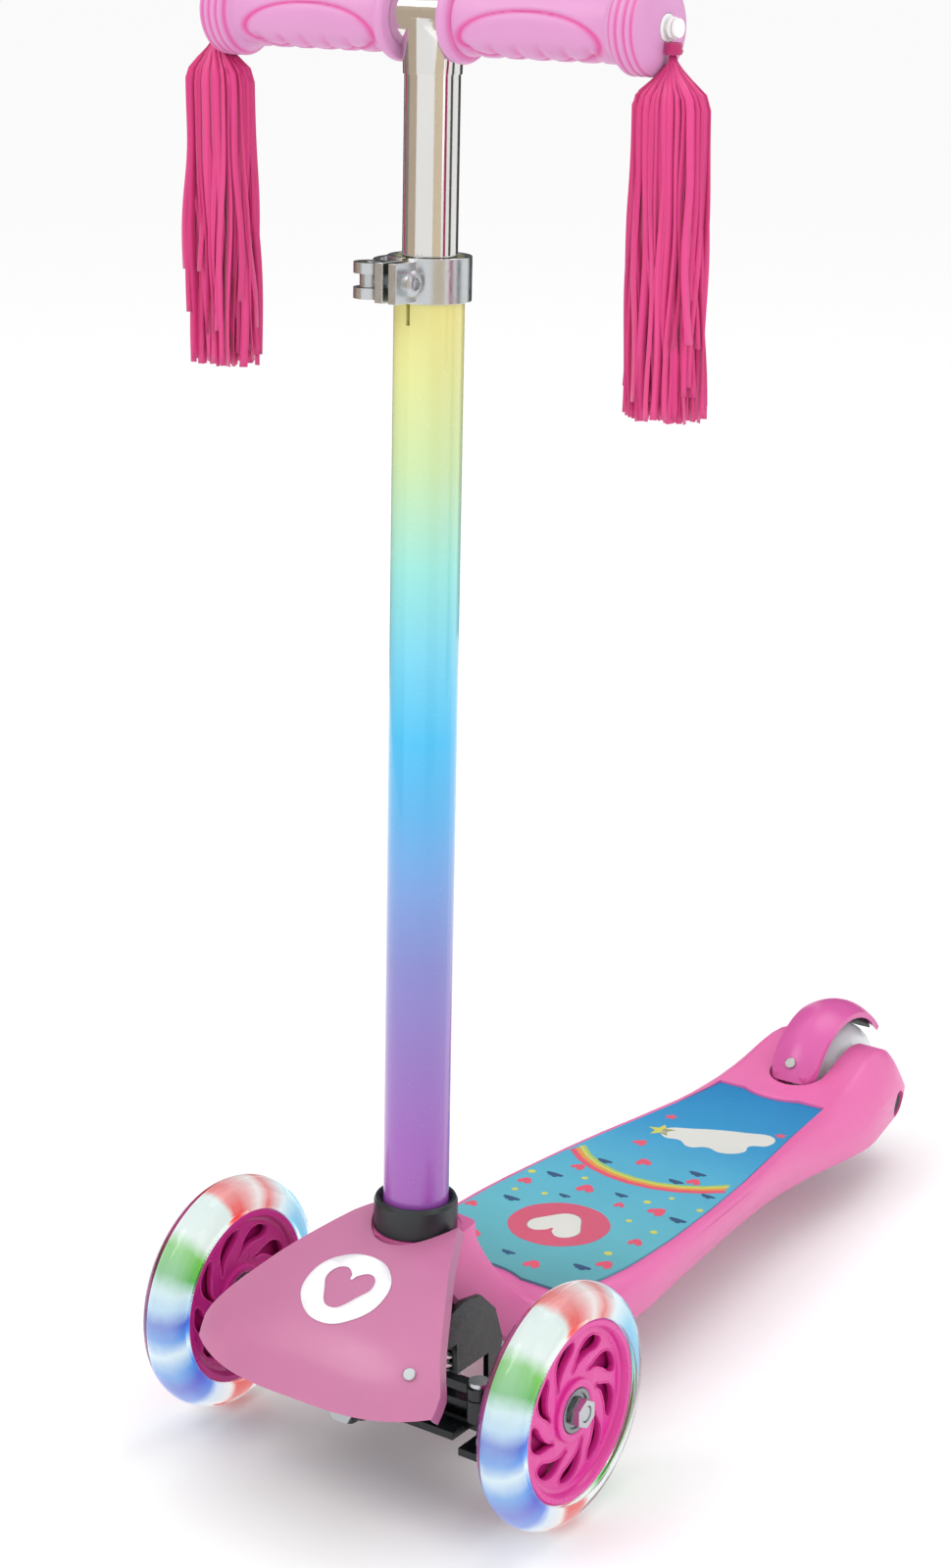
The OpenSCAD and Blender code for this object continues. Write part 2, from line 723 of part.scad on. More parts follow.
// The rod has slots that run with the arms' pins and with the drive pin as they swing.
module tie_rod() {
    drive_z = pivot_z + drive_rise;
    play = 0.75;
    color("#3a4043") place() translate([0, -steer_arm, 0]) difference() {
        union() {
            block([-kingpin_x, -2.5, tie_z], [kingpin_x, 2.5, tie_z + tie_t]);
            both_sides() translate([kingpin_x, 0, tie_z - 1]) rod_z(0, tie_t + 1, 6);
            block([-8, -3, drive_z - 6], [8, 3, drive_z + 6]);
        }
        both_sides() translate([kingpin_x, 0, 0]) {
            for (y = [-play, play]) translate([0, y, 0]) rod_z(0, bar_h, tie_pin_r + 0.08);
            block([-tie_pin_r - 0.08, -play, 0], [tie_pin_r + 0.08, play, bar_h]);
        }
        for (z = [-play, play]) translate([0, 0, drive_z + z]) rod_y(-9, 9, drive_pin_r + 0.08);
        block([-drive_pin_r - 0.08, -9, drive_z - play], [drive_pin_r + 0.08, 9, drive_z + play]);
    }
}

// ---- Wheels ----

// A tyre's section is a full round tread on a flat foot.
module tyre_section(r, w, depth) {
    foot = r - depth;
    difference() {
        union() {
            translate([r - w / 2, 0]) circle(d = w);
            translate([foot, -w / 2]) square([depth - w / 2, w]);
        }
        translate([0, -w]) square([foot, 2 * w]);
    }
}

module tyre(r, w) {
    turn_x() tyre_section(r, w, tyre_depth);
}

// A spiral of teardrop windows leaves curved spokes between them.
module hub_windows(r_in, r_out, count) {
    wide = 0.62 * PI * (r_in + r_out) / count;
    for (i = [0 : count - 1]) rotate(i * 360 / count) {
        translate([(r_in + r_out) / 2 + wide / 3, 0]) circle(r = wide / 2);
        polygon([
            [(r_in + r_out) / 2 + wide / 3, wide / 2], [r_in, wide * 1.2],
            [r_in + 1, wide * 0.9], [(r_in + r_out) / 2 + wide / 3, -wide / 2]
        ]);
    }
}

module hub(r, w, windows) {
    rim = r - tyre_depth - seat_gap;
    web = 3.5;
    difference() {
        union() {
            ring_x(-w / 2 + 1.5, w / 2 - 1.5, rim - 2, rim - hub_rim_t);
            both_sides() ring_x(w / 2 - 4, w / 2 - 1.5, rim, rim - hub_rim_t);
            ring_x(-web, web, rim - hub_rim_t + 1, hub_boss_r - 1);
            ring_x(-hub_half, hub_half, hub_boss_r, 10);
        }
        both_sides() rod_x(hub_half - bearing_t, wheel_x, bearing_r + seat_gap);
        rotate([0, 90, 0]) translate([0, 0, -wheel_x]) linear_extrude(2 * wheel_x)
            hub_windows(hub_boss_r + 2, rim - hub_rim_t - 1, windows);
    }
}

module bearing_pair() {
    both_sides() ring_x(hub_half - bearing_t + seat_gap, hub_half, bearing_r, axle_r + run_gap);
}

// The light ring is a band of six lamps that lies in the hub's groove under the tyre.
module light_ring(r, w) {
    band = r - tyre_depth - 0.3;
    half = w / 2 - 4.2;
    ring_x(-half, half, band - 0.8, band - 1.65);
    for (a = [0 : 60 : 300]) rotate([a, 0, 0])
        block([-4, -5, band - 1.2], [4, 5, band - 0.5]);
}

module front_axle(left) {
    color("silver") place() side(left) on_front_axle()
        rod_x(knuckle_wall_x + 1.5, wheel_x + hub_half + 5, axle_r);
}

module axle_nut(left) {
    color("#c9ced1") place() side(left) on_front_axle() {
        translate([wheel_x + hub_half + end_gap, 0, 0]) rotate([0, 90, 0])
            hex_nut(5.5, axle_d + 5, axle_r + seat_gap);
    }
}

module front_spacer(left) {
    color("#9aa0a3") place() side(left) on_front_axle() {
        ring_x(axle_boss_x + seat_gap, wheel_x - hub_half - end_gap, spacer_r, axle_r + seat_gap);
        ring_x(wheel_x - hub_half + bearing_t + end_gap, wheel_x + hub_half - bearing_t - end_gap,
            spacer_r, axle_r + seat_gap);
    }
}

module front_bearings(left) {
    color("#aab0b3") place() side(left) on_front_axle() translate([wheel_x, 0, 0]) bearing_pair();
}

module front_hub(left) {
    color("#e0349c") place() side(left) on_front_axle() translate([wheel_x, 0, 0])
        hub(front_r, front_tyre_w, 9);
}

module front_lights(left) {
    color("#d8f0ff") place() side(left) on_front_axle() translate([wheel_x, 0, 0])
        light_ring(front_r, front_tyre_w);
}

module front_tyre(left) {
    color("#dfeff5", 0.6) place() side(left) on_front_axle() translate([wheel_x, 0, 0])
        tyre(front_r, front_tyre_w);
}

module rear_axle() {
    color("silver") place() on_rear_axle() {
        rod_x(-rear_face - 6, rear_face + 1, axle_r);
        rod_x(rear_face + seat_gap, rear_face + 5, 6.5);
    }
}

module rear_axle_nut() {
    color("silver") place() on_rear_axle() translate([-rear_face - seat_gap, 0, 0])
        rotate([0, -90, 0]) hex_nut(5.5, axle_d + 5, axle_r + seat_gap);
}

module rear_spacers() {
    color("#9aa0a3") place() on_rear_axle() {
        both_sides() ring_x(hub_half + end_gap, tail_slot - seat_gap, spacer_r, axle_r + seat_gap);
        ring_x(bearing_t - hub_half + end_gap, hub_half - bearing_t - end_gap,
            spacer_r, axle_r + seat_gap);
    }
}

module rear_bearings() {
    color("#aab0b3") place() on_rear_axle() bearing_pair();
}

module rear_hub() {
    color("#e0349c") place() on_rear_axle() hub(rear_r, rear_tyre_w, 7);
}

module rear_tyre() {
    color("#e6f2f5", 0.6) place() on_rear_axle() tyre(rear_r, rear_tyre_w);
}

// ---- Brake ----

fender_from = 36;
fender_to = 160;
crown = 5;
screw_angle = 148;

// A crowned strip, thick enough to stand on
function fender_edge(r, drop) = [for (i = [-8 : 8]) [r - drop - crown * pow(i / 8, 2), fender_w * i / 8]];

module fender_section() {
    low = fender_edge(fender_r, fender_t);
    polygon(concat(fender_edge(fender_r, 0), [for (i = [len(low) - 1 : -1 : 0]) low[i]]));
}

// Turns a section about the X axis between two angles, measured up from the rear.
module arc_x(from, to) {
    rotate([from, 0, 0]) rotate([90, 0, 90]) rotate_extrude(angle = to - from) children();
}

module brake_fender() {
    nose_half = fender_w - 4;
    color("#e55fae") place() difference() {
        intersection() {
            union() {
                translate([0, fender_y, fender_z]) arc_x(fender_from, fender_to) fender_section();
                translate([0, brake_y, brake_z]) rod_x(-nose_half, nose_half, 6);
                both_sides() block([nose_half - 4, brake_y - 4, brake_z],
                    [nose_half, brake_y + 5, brake_z + 13]);
                on_fender() rod_y(fender_r - 10, fender_r - 2, 4.5);
            }
            wheel_slot(-1.5);
        }
        translate([0, brake_y, brake_z]) rod_x(-50, 50, brake_pin_r + run_gap);
        translate([0, brake_y, brake_z]) rod_x(-5, 5, 6.9);
        on_fender() rod_y(fender_r - 9.5, fender_r + 5, 1.5 + seat_gap);
    }
}

// Places a piece on the fender's crest, pointing outwards along +Y
module on_fender() {
    translate([0, fender_y, fender_z]) rotate([screw_angle, 0, 0]) children();
}

module brake_pad() {
    pad_in = rear_r + pad_gap;
    color("#6b7073") place() difference() {
        on_rear_axle() arc_x(46, 78) translate([pad_in, -8]) square([14, 16]);
        translate([0, fender_y, fender_z]) arc_x(20, 160)
            difference() {
                translate([fender_r - fender_t - 3 * crown, -40]) square([80, 80]);
                polygon(concat([[0, -fender_w]], fender_edge(fender_r, fender_t + seat_gap), [[0, fender_w]]));
            }
    }
}

module brake_screw() {
    color("silver") place() on_fender() {
        rod_y(fender_r - 9, fender_r + 1, 1.5);
        rod_y(fender_r + seat_gap, fender_r + 1.6, 3.2);
    }
}

module brake_pin() {
    color("silver") place() translate([0, brake_y, brake_z])
        rod_x(-tail_slot - 6.5, tail_slot + 6.5, brake_pin_r);
}

module brake_spring() {
    color("#8d9396") place() translate([-4.6, brake_y, brake_z]) rotate([0, 90, 0])
        coil(4.2, 0.8, 4, 9.2);
}

// ---- Handlebar column ----

module tube_screw_hole(from, to, r) {
    column() translate([0, 0, collar_z - 16]) rod_y(from, to, r);
}

module lower_tube() {
    color("#8fb4e6") place() column() difference() {
        rod_z(socket_foot + seat_gap, lower_top, lower_d / 2);
        rod_z(socket_foot - 1, lower_top + 1, lower_d / 2 - tube_wall - 0.8);
        block([-slot_w / 2, -lower_d, clamp_z - 10], [slot_w / 2, 0, lower_top + 1]);
        translate([0, 0, collar_z - 16]) rod_y(0, 40, 2.2);
    }
}

module tube_screw() {
    color("silver") place() column() translate([0, 0, collar_z - 16]) {
        rod_y(lower_d / 2 - 4, tube_screw_seat + 1, 2.15);
        rod_y(tube_screw_seat, tube_screw_seat + 2.7, 4);
    }
}

module tube_bush() {
    color("#2b2f31") place() column() difference() {
        ring_z(lower_top - 45, lower_top - 0.5, lower_d / 2 - tube_wall - 0.8 - seat_gap,
            upper_d / 2 + run_gap);
        block([-slot_w / 2, -lower_d, 0], [slot_w / 2, 0, column_top]);
    }
}

module clamp_band() {
    out_r = lower_d / 2 + clamp_wall;
    mid_z = clamp_z + clamp_h / 2;
    color("#c4c9cc") place() column() difference() {
        union() {
            ring_z(clamp_z, clamp_z + clamp_h, out_r, lower_d / 2 + seat_gap);
            both_sides() block([ear_in, ear_y - 8, clamp_z + 1],
                [ear_out, -lower_d / 2, clamp_z + clamp_h - 1]);
        }
        block([-ear_in, -60, clamp_z - 1], [ear_in, -lower_d / 2 + 4, clamp_z + clamp_h + 1]);
        rod_z(0, column_top, lower_d / 2 + seat_gap);
        translate([0, ear_y, mid_z]) rod_x(-20, 20, clamp_bolt_d / 2 + run_gap);
    }
}

module clamp_bolt() {
    color("#b5bbbe") place() column() translate([0, ear_y, clamp_z + clamp_h / 2]) difference() {
        union() {
            rod_x(cam_x, ear_out + 1, clamp_bolt_d / 2);
            rod_x(ear_out + seat_gap, ear_out + 4, 6);
            translate([cam_x, 0, 0]) rod_z(-3, 3, 5);
        }
        translate([cam_x, 0, 0]) rod_z(-10, 10, 2 + seat_gap);
    }
}

module clamp_pin() {
    color("silver") place() column() translate([cam_x, ear_y, clamp_z + clamp_h / 2])
        rod_z(-clamp_h / 2 + 1.5, clamp_h / 2 - 1.5, 2);
}

module clamp_lever() {
    half = clamp_h / 2 - 2;
    arm_in = norm([cam_x, ear_y]) - 6.4;
    color("#9ba1a4") place() column() translate([0, 0, clamp_z + clamp_h / 2]) difference() {
        union() {
            translate([cam_x, ear_y, 0]) rod_z(-half, half, cam_r);
            rotate([0, 0, 142]) rotate_extrude(angle = 92)
                translate([arm_in, -half]) square([3.2, 2 * half]);
        }
        translate([cam_x, ear_y, 0]) rod_z(-3 - end_gap, 3 + end_gap, cam_r + 2);
        translate([cam_x, ear_y, 0]) rod_z(-20, 20, 2 + run_gap);
    }
}

module upper_tube() {
    color("#d9dcdd") place() difference() {
        column() ring_z(lower_top - upper_insert, column_top, upper_d / 2, upper_d / 2 - tube_wall);
        handlebar_axis() rod_x(-bar_len, bar_len, cross_d / 2 + seat_gap);
        block([-upper_d, -bar_len, bar_h], [upper_d, wheelbase, bar_h + upper_d]);
    }
}

module tube_foot() {
    foot = lower_top - upper_insert;
    bore = lower_d / 2 - tube_wall - 0.8;
    color("#2b2f31") place() column() {
        rod_z(foot - 6, foot - seat_gap, bore - run_gap);
        rod_z(foot - 1, foot + 18, upper_d / 2 - tube_wall - seat_gap);
    }
}

module handlebar_axis() {
    translate([0, column_y + bar_h * tan(lean_back), bar_h]) children();
}

module tee_lug() {
    color("#cfd3d5") place() difference() {
        union() {
            handlebar_axis() rod_x(-sleeve_half, sleeve_half, sleeve_r);
            column() translate([0, 0, column_top - 24])
                cylinder(h = 24, r1 = upper_d / 2 + 0.6, r2 = sleeve_half - 0.1);
        }
        handlebar_axis() rod_x(-bar_len, bar_len, cross_d / 2 + seat_gap);
        column() rod_z(0, column_top, upper_d / 2 + seat_gap);
    }
}

module cross_tube() {
    color("#d9dcdd") place() handlebar_axis()
        ring_x(-bar_half + 6, bar_half - 6, cross_d / 2, cross_d / 2 - tube_wall);
}

// The grip's section, from its inner flange to its ribbed and domed end
module grip_section() {
    bar_r = cross_d / 2 + seat_gap;
    r = grip_d / 2;
    f = flange_d / 2;
    polygon(concat(
        [[bar_r, grip_in], [r + 2.5, grip_in], [r + 3.5, grip_in + 1.5], [r + 3, grip_in + 4],
            [r, grip_in + 6], [r, bar_half - 18]],
        [for (i = [0 : 2]) each [[f - 3.5 + i, bar_half - 16 + i * 3.4],
            [f - 2 + i, bar_half - 15 + i * 3.4], [f - 3.6 + i, bar_half - 13.4 + i * 3.4]]],
        [[f, bar_half - 6], [f, bar_half - 4], [f - 3, bar_half - 1.5], [f - 9, bar_half],
            [plug_pin_r + 3.5, bar_half], [plug_pin_r + 3.5, bar_half - 5.8], [bar_r, bar_half - 5.8]]
    ));
}

module grip(left) {
    color("#e08fd0") place() side(left) handlebar_axis() turn_x() grip_section();
}

module bar_plug(left) {
    color("#f2f2f0") place() side(left) handlebar_axis() {
        rod_x(bar_half - 20, bar_half - 6.1, cross_d / 2 - tube_wall - seat_gap);
        rod_x(bar_half - 7, bar_half + 0.4, plug_pin_r + 3.4);
        rod_x(bar_half, bar_half + 5, plug_pin_r);
        rod_x(bar_half + 4, bar_half + 6, plug_pin_r + 1.5);
    }
}

// ---- Streamers ----

// A bundle of ribbons that hangs from a loop on the plug's pin. Each row gives its distance below
// the handlebar's axis, its place beyond the grip's end, its half width and half thickness; only
// the rows past the flange are wider than the tie.
module streamer(left) {
    x = bar_half + 2.2;
    clear = flange_d / 2 + 2;
    shape = [
        [8, 4.8, 3, 3], [clear - 3.5, 4.8, 3.5, 4], [clear, 3, 9, 8], [clear + 5, 2, 16, 11],
        [clear + 12, 2, 19, 12], [clear + streamer_len * 0.4, 2, 19.5, 12],
        [clear + streamer_len * 0.7, 2, 18.5, 12], [clear + streamer_len, 2, 17, 10]
    ];
    color("#e0207c") place() side(left) handlebar_axis() {
        difference() {
            union() {
                translate([x, 0, 0]) rod_x(-1.6, 1.6, plug_pin_r + 2.2);
                block([x - 1.6, -2.2, -12], [x + 1.6, 2.2, -plug_pin_r - 0.5]);
            }
            rod_x(0, bar_len, plug_pin_r + run_gap);
        }
        skin([for (s = smooth(shape, 2)) let (w = s[2] * streamer_w / 39, t = s[3] * streamer_t / 24)
            [for (a = [345 : -15 : 0]) [bar_half + s[1] + w * cos(a), t * sin(a), -s[0]]]]);
    }
}

deck();
grip_mat();
front_cover();
cover_screw();
collar();
steering_housing();
housing_screws();
pivot_bolt();
pivot_nut();
drive_pin();
return_springs();
axle_beam();
kingpins();
tie_rod();
knuckle(true);  // knuckle_left
knuckle(false);  // knuckle_right
tie_pin(true);  // tie_pin_left
tie_pin(false);  // tie_pin_right
front_axle(true);  // front_axle_left
front_axle(false);  // front_axle_right
axle_nut(true);  // axle_nut_left
axle_nut(false);  // axle_nut_right
front_spacer(true);  // spacer_left
front_spacer(false);  // spacer_right
front_bearings(true);  // bearings_left
front_bearings(false);  // bearings_right
front_hub(true);  // hub_left
front_hub(false);  // hub_right
front_lights(true);  // light_ring_left
front_lights(false);  // light_ring_right
front_tyre(true);  // tyre_left
front_tyre(false);  // tyre_right
rear_axle();
rear_axle_nut();
rear_spacers();
rear_bearings();
rear_hub();
rear_tyre();
brake_fender();
brake_pad();
brake_screw();
brake_pin();
brake_spring();
lower_tube();
tube_screw();
tube_bush();
clamp_band();
clamp_bolt();
clamp_pin();
clamp_lever();
upper_tube();
tube_foot();
tee_lug();
cross_tube();
grip(true);  // grip_left
grip(false);  // grip_right
bar_plug(true);  // bar_plug_left
bar_plug(false);  // bar_plug_right
streamer(true);  // streamer_left
streamer(false);  // streamer_right
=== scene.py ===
import math
import random

import bmesh
import bpy
from mathutils import Matrix, Vector, noise


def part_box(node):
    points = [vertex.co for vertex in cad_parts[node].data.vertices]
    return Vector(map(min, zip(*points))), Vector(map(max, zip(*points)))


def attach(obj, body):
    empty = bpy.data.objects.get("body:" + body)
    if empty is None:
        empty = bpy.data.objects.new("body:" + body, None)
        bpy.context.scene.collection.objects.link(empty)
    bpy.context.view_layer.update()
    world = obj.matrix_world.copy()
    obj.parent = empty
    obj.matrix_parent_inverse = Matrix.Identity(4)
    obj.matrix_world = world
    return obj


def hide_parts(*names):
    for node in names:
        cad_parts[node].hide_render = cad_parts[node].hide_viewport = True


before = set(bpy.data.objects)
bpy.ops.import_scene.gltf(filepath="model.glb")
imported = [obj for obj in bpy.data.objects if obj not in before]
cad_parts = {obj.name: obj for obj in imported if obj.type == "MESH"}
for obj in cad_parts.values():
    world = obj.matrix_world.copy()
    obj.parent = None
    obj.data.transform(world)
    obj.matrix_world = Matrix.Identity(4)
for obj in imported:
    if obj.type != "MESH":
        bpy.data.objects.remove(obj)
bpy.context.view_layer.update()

scene = bpy.context.scene
rng = random.Random(7)
print("frame loaded:", len(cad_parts), "nodes")


# --- small helpers ---

def srgb(hexColor):  # a paint-chip colour as linear light
    parts = [int(hexColor[i:i + 2], 16) / 255 for i in (0, 2, 4)]
    return [p / 12.92 if p < 0.04045 else ((p + 0.055) / 1.055) ** 2.4 for p in parts] + [1.0]


def middle(node):
    low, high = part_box(node)
    return (low + high) / 2


def ease(t):
    t = min(1.0, max(0.0, t))
    return t * t * (3 - 2 * t)


def finishPiece(obj, material, body, nodes=(), sharp=None):
    if sharp is not None:  # smooth shading with the real edges kept
        obj.data.shade_smooth()
        obj.data.set_sharp_from_angle(angle=math.radians(sharp))
    obj.data.materials.clear()
    obj.data.materials.append(material)
    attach(obj, body)
    if nodes:
        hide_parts(*nodes)
    return obj


def pieceFrom(bm, name):
    mesh = bpy.data.meshes.new(name)
    bm.to_mesh(mesh)
    bm.free()
    obj = bpy.data.objects.new(name, mesh)
    scene.collection.objects.link(obj)
    return obj


def spinProfile(bm, profile, steps, matrix):
    # profile is (along the axis, radius); closed rings stay closed, the axis is X until matrix turns it
    verts = [bm.verts.new((x, 0, r)) for x, r in profile]
    edges = [bm.edges.new((a, b)) for a, b in zip(verts, verts[1:] + verts[:1])]
    bmesh.ops.spin(bm, geom=verts + edges, cent=(0, 0, 0), axis=(1, 0, 0), dvec=(0, 0, 0),
                   angle=math.tau, steps=steps, use_merge=True, use_normal_flip=False)
    fresh = [v for v in bm.verts if not v.tag]
    bmesh.ops.remove_doubles(bm, verts=fresh, dist=1e-6)
    bmesh.ops.transform(bm, matrix=matrix, verts=[v for v in bm.verts if not v.tag])
    for v in bm.verts:
        v.tag = True
    bmesh.ops.recalc_face_normals(bm, faces=bm.faces)


def roundedRing(x0, x1, rOut, rIn, edge):
    # a ring's section with its outer corners cut back twice, for a soft moulded edge
    half = edge * 0.3
    return [(x0 + edge, rOut), (x1 - edge, rOut), (x1 - half, rOut - half), (x1, rOut - edge),
            (x1, rIn + edge), (x1 - half, rIn + half), (x1 - edge, rIn), (x0 + edge, rIn),
            (x0 + half, rIn + half), (x0, rIn + edge), (x0, rOut - edge), (x0 + half, rOut - half)]


softLook = {"merge": 2e-6, "flat": 2.0, "breakFrom": 30, "sharp": 32}


def softCopy(node, name, material, body, width):
    # a copy of a CAD node with its triangles merged and its edges broken
    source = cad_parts[node]
    bm = bmesh.new()
    bm.from_mesh(source.data)
    bmesh.ops.remove_doubles(bm, verts=bm.verts, dist=softLook["merge"])
    bmesh.ops.dissolve_limit(bm, angle_limit=math.radians(softLook["flat"]), verts=bm.verts, edges=bm.edges,
                             use_dissolve_boundaries=False, delimit=set())
    obj = pieceFrom(bm, name)
    bevel = obj.modifiers.new("edges", "BEVEL")
    bevel.width = width
    bevel.segments = 2
    bevel.limit_method = "ANGLE"
    bevel.angle_limit = math.radians(softLook["breakFrom"])
    bevel.use_clamp_overlap = True
    bevel.harden_normals = False
    return finishPiece(obj, material, body, (node,), sharp=softLook["sharp"])


def meshOfOutlines(name, outlines, **settings):
    # closed splines through the points, with the curve's own settings, turned into a mesh
    data = bpy.data.curves.new(name, "CURVE")
    for key, value in settings.items():
        setattr(data, key, value)
    for points, kind in outlines:
        spline = data.splines.new("BEZIER")
        spline.bezier_points.add(len(points) - 1)
        for knot, (x, y) in zip(spline.bezier_points, points):
            knot.co = (x, y, 0)
            knot.handle_left_type = knot.handle_right_type = kind
        spline.use_cyclic_u = True
    curve = bpy.data.objects.new(name, data)
    scene.collection.objects.link(curve)
    bpy.context.view_layer.update()
    mesh = bpy.data.meshes.new_from_object(curve.evaluated_get(bpy.context.evaluated_depsgraph_get()))
    bpy.data.objects.remove(curve)
    return mesh


def flatShape(name, outlines, thick, place, soften=0.0, resolution=5):
    # outlines filled in the XY plane, holes left out, then put in place
    mesh = meshOfOutlines(name, outlines, dimensions="2D", fill_mode="BOTH", extrude=thick / 2,
                          bevel_depth=soften, bevel_resolution=2, resolution_u=resolution)
    bm = bmesh.new()
    bm.from_mesh(mesh)
    bpy.data.meshes.remove(mesh)
    bmesh.ops.remove_doubles(bm, verts=bm.verts, dist=1e-6)
    bmesh.ops.transform(bm, matrix=place, verts=bm.verts)
    bmesh.ops.recalc_face_normals(bm, faces=bm.faces)
    return bm


# --- node groups shared by the finishes ---

def addGroup(name, inputs, outputs):
    tree = bpy.data.node_groups.new(name, "ShaderNodeTree")
    for label, kind, value in inputs:
        socket = tree.interface.new_socket(name=label, in_out="INPUT", socket_type=kind)
        if value is not None:
            socket.default_value = value
    for label, kind in outputs:
        tree.interface.new_socket(name=label, in_out="OUTPUT", socket_type=kind)
    return tree, tree.nodes.new("NodeGroupInput"), tree.nodes.new("NodeGroupOutput")


def addNode(tree, kind, **settings):
    node = tree.nodes.new(kind)
    for key, value in settings.items():
        if key in node.inputs:
            node.inputs[key].default_value = value
        else:
            setattr(node, key, value)
    return node


def mathNode(tree, operation, a, b=None, clamp=False):
    node = tree.nodes.new("ShaderNodeMath")
    node.operation = operation
    node.use_clamp = clamp
    for socket, value in zip(node.inputs, (a, b)):
        if value is None:
            continue
        if isinstance(value, (int, float)):
            socket.default_value = value
        else:
            tree.links.new(value, socket)
    return node.outputs[0]


def mixColor(tree, factor, a, b):
    node = tree.nodes.new("ShaderNodeMix")
    node.data_type = "RGBA"
    for socket, value in ((node.inputs[0], factor), (node.inputs[6], a), (node.inputs[7], b)):
        if isinstance(value, (int, float, list, tuple)):
            socket.default_value = value
        else:
            tree.links.new(value, socket)
    return node.outputs[2]


def noiseNode(tree, vector, scale, detail=3.0, rough=0.55, distortion=0.0):
    node = addNode(tree, "ShaderNodeTexNoise", Detail=detail, Roughness=rough, Distortion=distortion)
    tree.links.new(vector, node.inputs["Vector"])
    if isinstance(scale, (int, float)):
        node.inputs["Scale"].default_value = scale
    else:
        tree.links.new(scale, node.inputs["Scale"])
    return node.outputs["Fac"]


def moulding():
    # colour drift, handling scuffs and grain of a moulded or painted surface
    tree, put, get = addGroup("mouldFinish", [
        ("Vector", "NodeSocketVector", None), ("Color", "NodeSocketColor", (0.5, 0.5, 0.5, 1)),
        ("Drift", "NodeSocketFloat", 0.08), ("Roughness", "NodeSocketFloat", 0.4),
        ("Spread", "NodeSocketFloat", 0.12), ("Grain", "NodeSocketFloat", 1500.0),
        ("Scuffs", "NodeSocketFloat", 0.3)],
        [("Color", "NodeSocketColor"), ("Roughness", "NodeSocketFloat"), ("Height", "NodeSocketFloat")])
    vector = put.outputs["Vector"]
    drift = noiseNode(tree, vector, 22.0, 3.0)
    cloudy = noiseNode(tree, vector, 140.0, 4.0)
    grain = noiseNode(tree, vector, put.outputs["Grain"], 2.0, 0.6)
    streak = addNode(tree, "ShaderNodeMapping", Scale=(3.0, 0.35, 1.0), Rotation=(0.2, 0.5, 0.6))
    tree.links.new(vector, streak.inputs["Vector"])
    scratches = noiseNode(tree, streak.outputs[0], 420.0, 5.0, 0.65, 1.2)
    marks = mathNode(tree, "SUBTRACT", scratches, 0.64, clamp=True)
    marks = mathNode(tree, "MULTIPLY", marks, 7.0, clamp=True)
    marks = mathNode(tree, "MULTIPLY", marks, put.outputs["Scuffs"])
    swing = mathNode(tree, "MULTIPLY", mathNode(tree, "SUBTRACT", drift, 0.5), put.outputs["Drift"])
    level = mathNode(tree, "ADD", mathNode(tree, "MULTIPLY", swing, 2.0), 1.0)
    level = mathNode(tree, "ADD", level, mathNode(tree, "MULTIPLY", marks, 0.16))
    tone = tree.nodes.new("ShaderNodeVectorMath")
    tone.operation = "SCALE"
    tree.links.new(put.outputs["Color"], tone.inputs[0])
    tree.links.new(level, tone.inputs["Scale"])
    tree.links.new(tone.outputs[0], get.inputs["Color"])
    spread = mathNode(tree, "MULTIPLY", mathNode(tree, "SUBTRACT", cloudy, 0.5), put.outputs["Spread"])
    rough = mathNode(tree, "ADD", mathNode(tree, "MULTIPLY", spread, 2.0), put.outputs["Roughness"])
    rough = mathNode(tree, "ADD", rough, mathNode(tree, "MULTIPLY", marks, 0.35), clamp=True)
    tree.links.new(rough, get.inputs["Roughness"])
    height = mathNode(tree, "SUBTRACT", grain, mathNode(tree, "MULTIPLY", marks, 0.8))
    tree.links.new(height, get.inputs["Height"])
    return tree


mouldFinish = moulding()


def surface(name, color, rough, drift=0.08, spread=0.1, grain=1500.0, bump=0.05, scuffs=0.25, **sockets):
    # color is a paint-chip hex, or a function that adds nodes and returns a colour output
    material = bpy.data.materials.new(name)
    material.use_nodes = True
    tree = material.node_tree
    shader = tree.nodes["Principled BSDF"]
    coords = tree.nodes.new("ShaderNodeTexCoord").outputs["Object"]
    group = tree.nodes.new("ShaderNodeGroup")
    group.node_tree = mouldFinish
    tree.links.new(coords, group.inputs["Vector"])
    for label, value in (("Drift", drift), ("Roughness", rough), ("Spread", spread), ("Grain", grain),
                         ("Scuffs", scuffs)):
        group.inputs[label].default_value = value
    if callable(color):
        tree.links.new(color(tree, coords), group.inputs["Color"])
    else:
        group.inputs["Color"].default_value = srgb(color)
    tree.links.new(group.outputs["Color"], shader.inputs["Base Color"])
    tree.links.new(group.outputs["Roughness"], shader.inputs["Roughness"])
    relief = addNode(tree, "ShaderNodeBump", Strength=bump, Distance=0.0004)
    tree.links.new(group.outputs["Height"], relief.inputs["Height"])
    tree.links.new(relief.outputs[0], shader.inputs["Normal"])
    for label, value in sockets.items():
        shader.inputs[label.replace("_", " ")].default_value = value
    return material


def ramp(tree, factor, stops):
    node = tree.nodes.new("ShaderNodeValToRGB")
    node.color_ramp.interpolation = "LINEAR"
    band = node.color_ramp.elements
    while len(band) < len(stops):
        band.new(0.5)
    for element, (at, color) in zip(band, sorted(stops)):
        element.position = at
        element.color = srgb(color)
    tree.links.new(factor, node.inputs[0])
    return node.outputs[0]


# --- the finishes ---

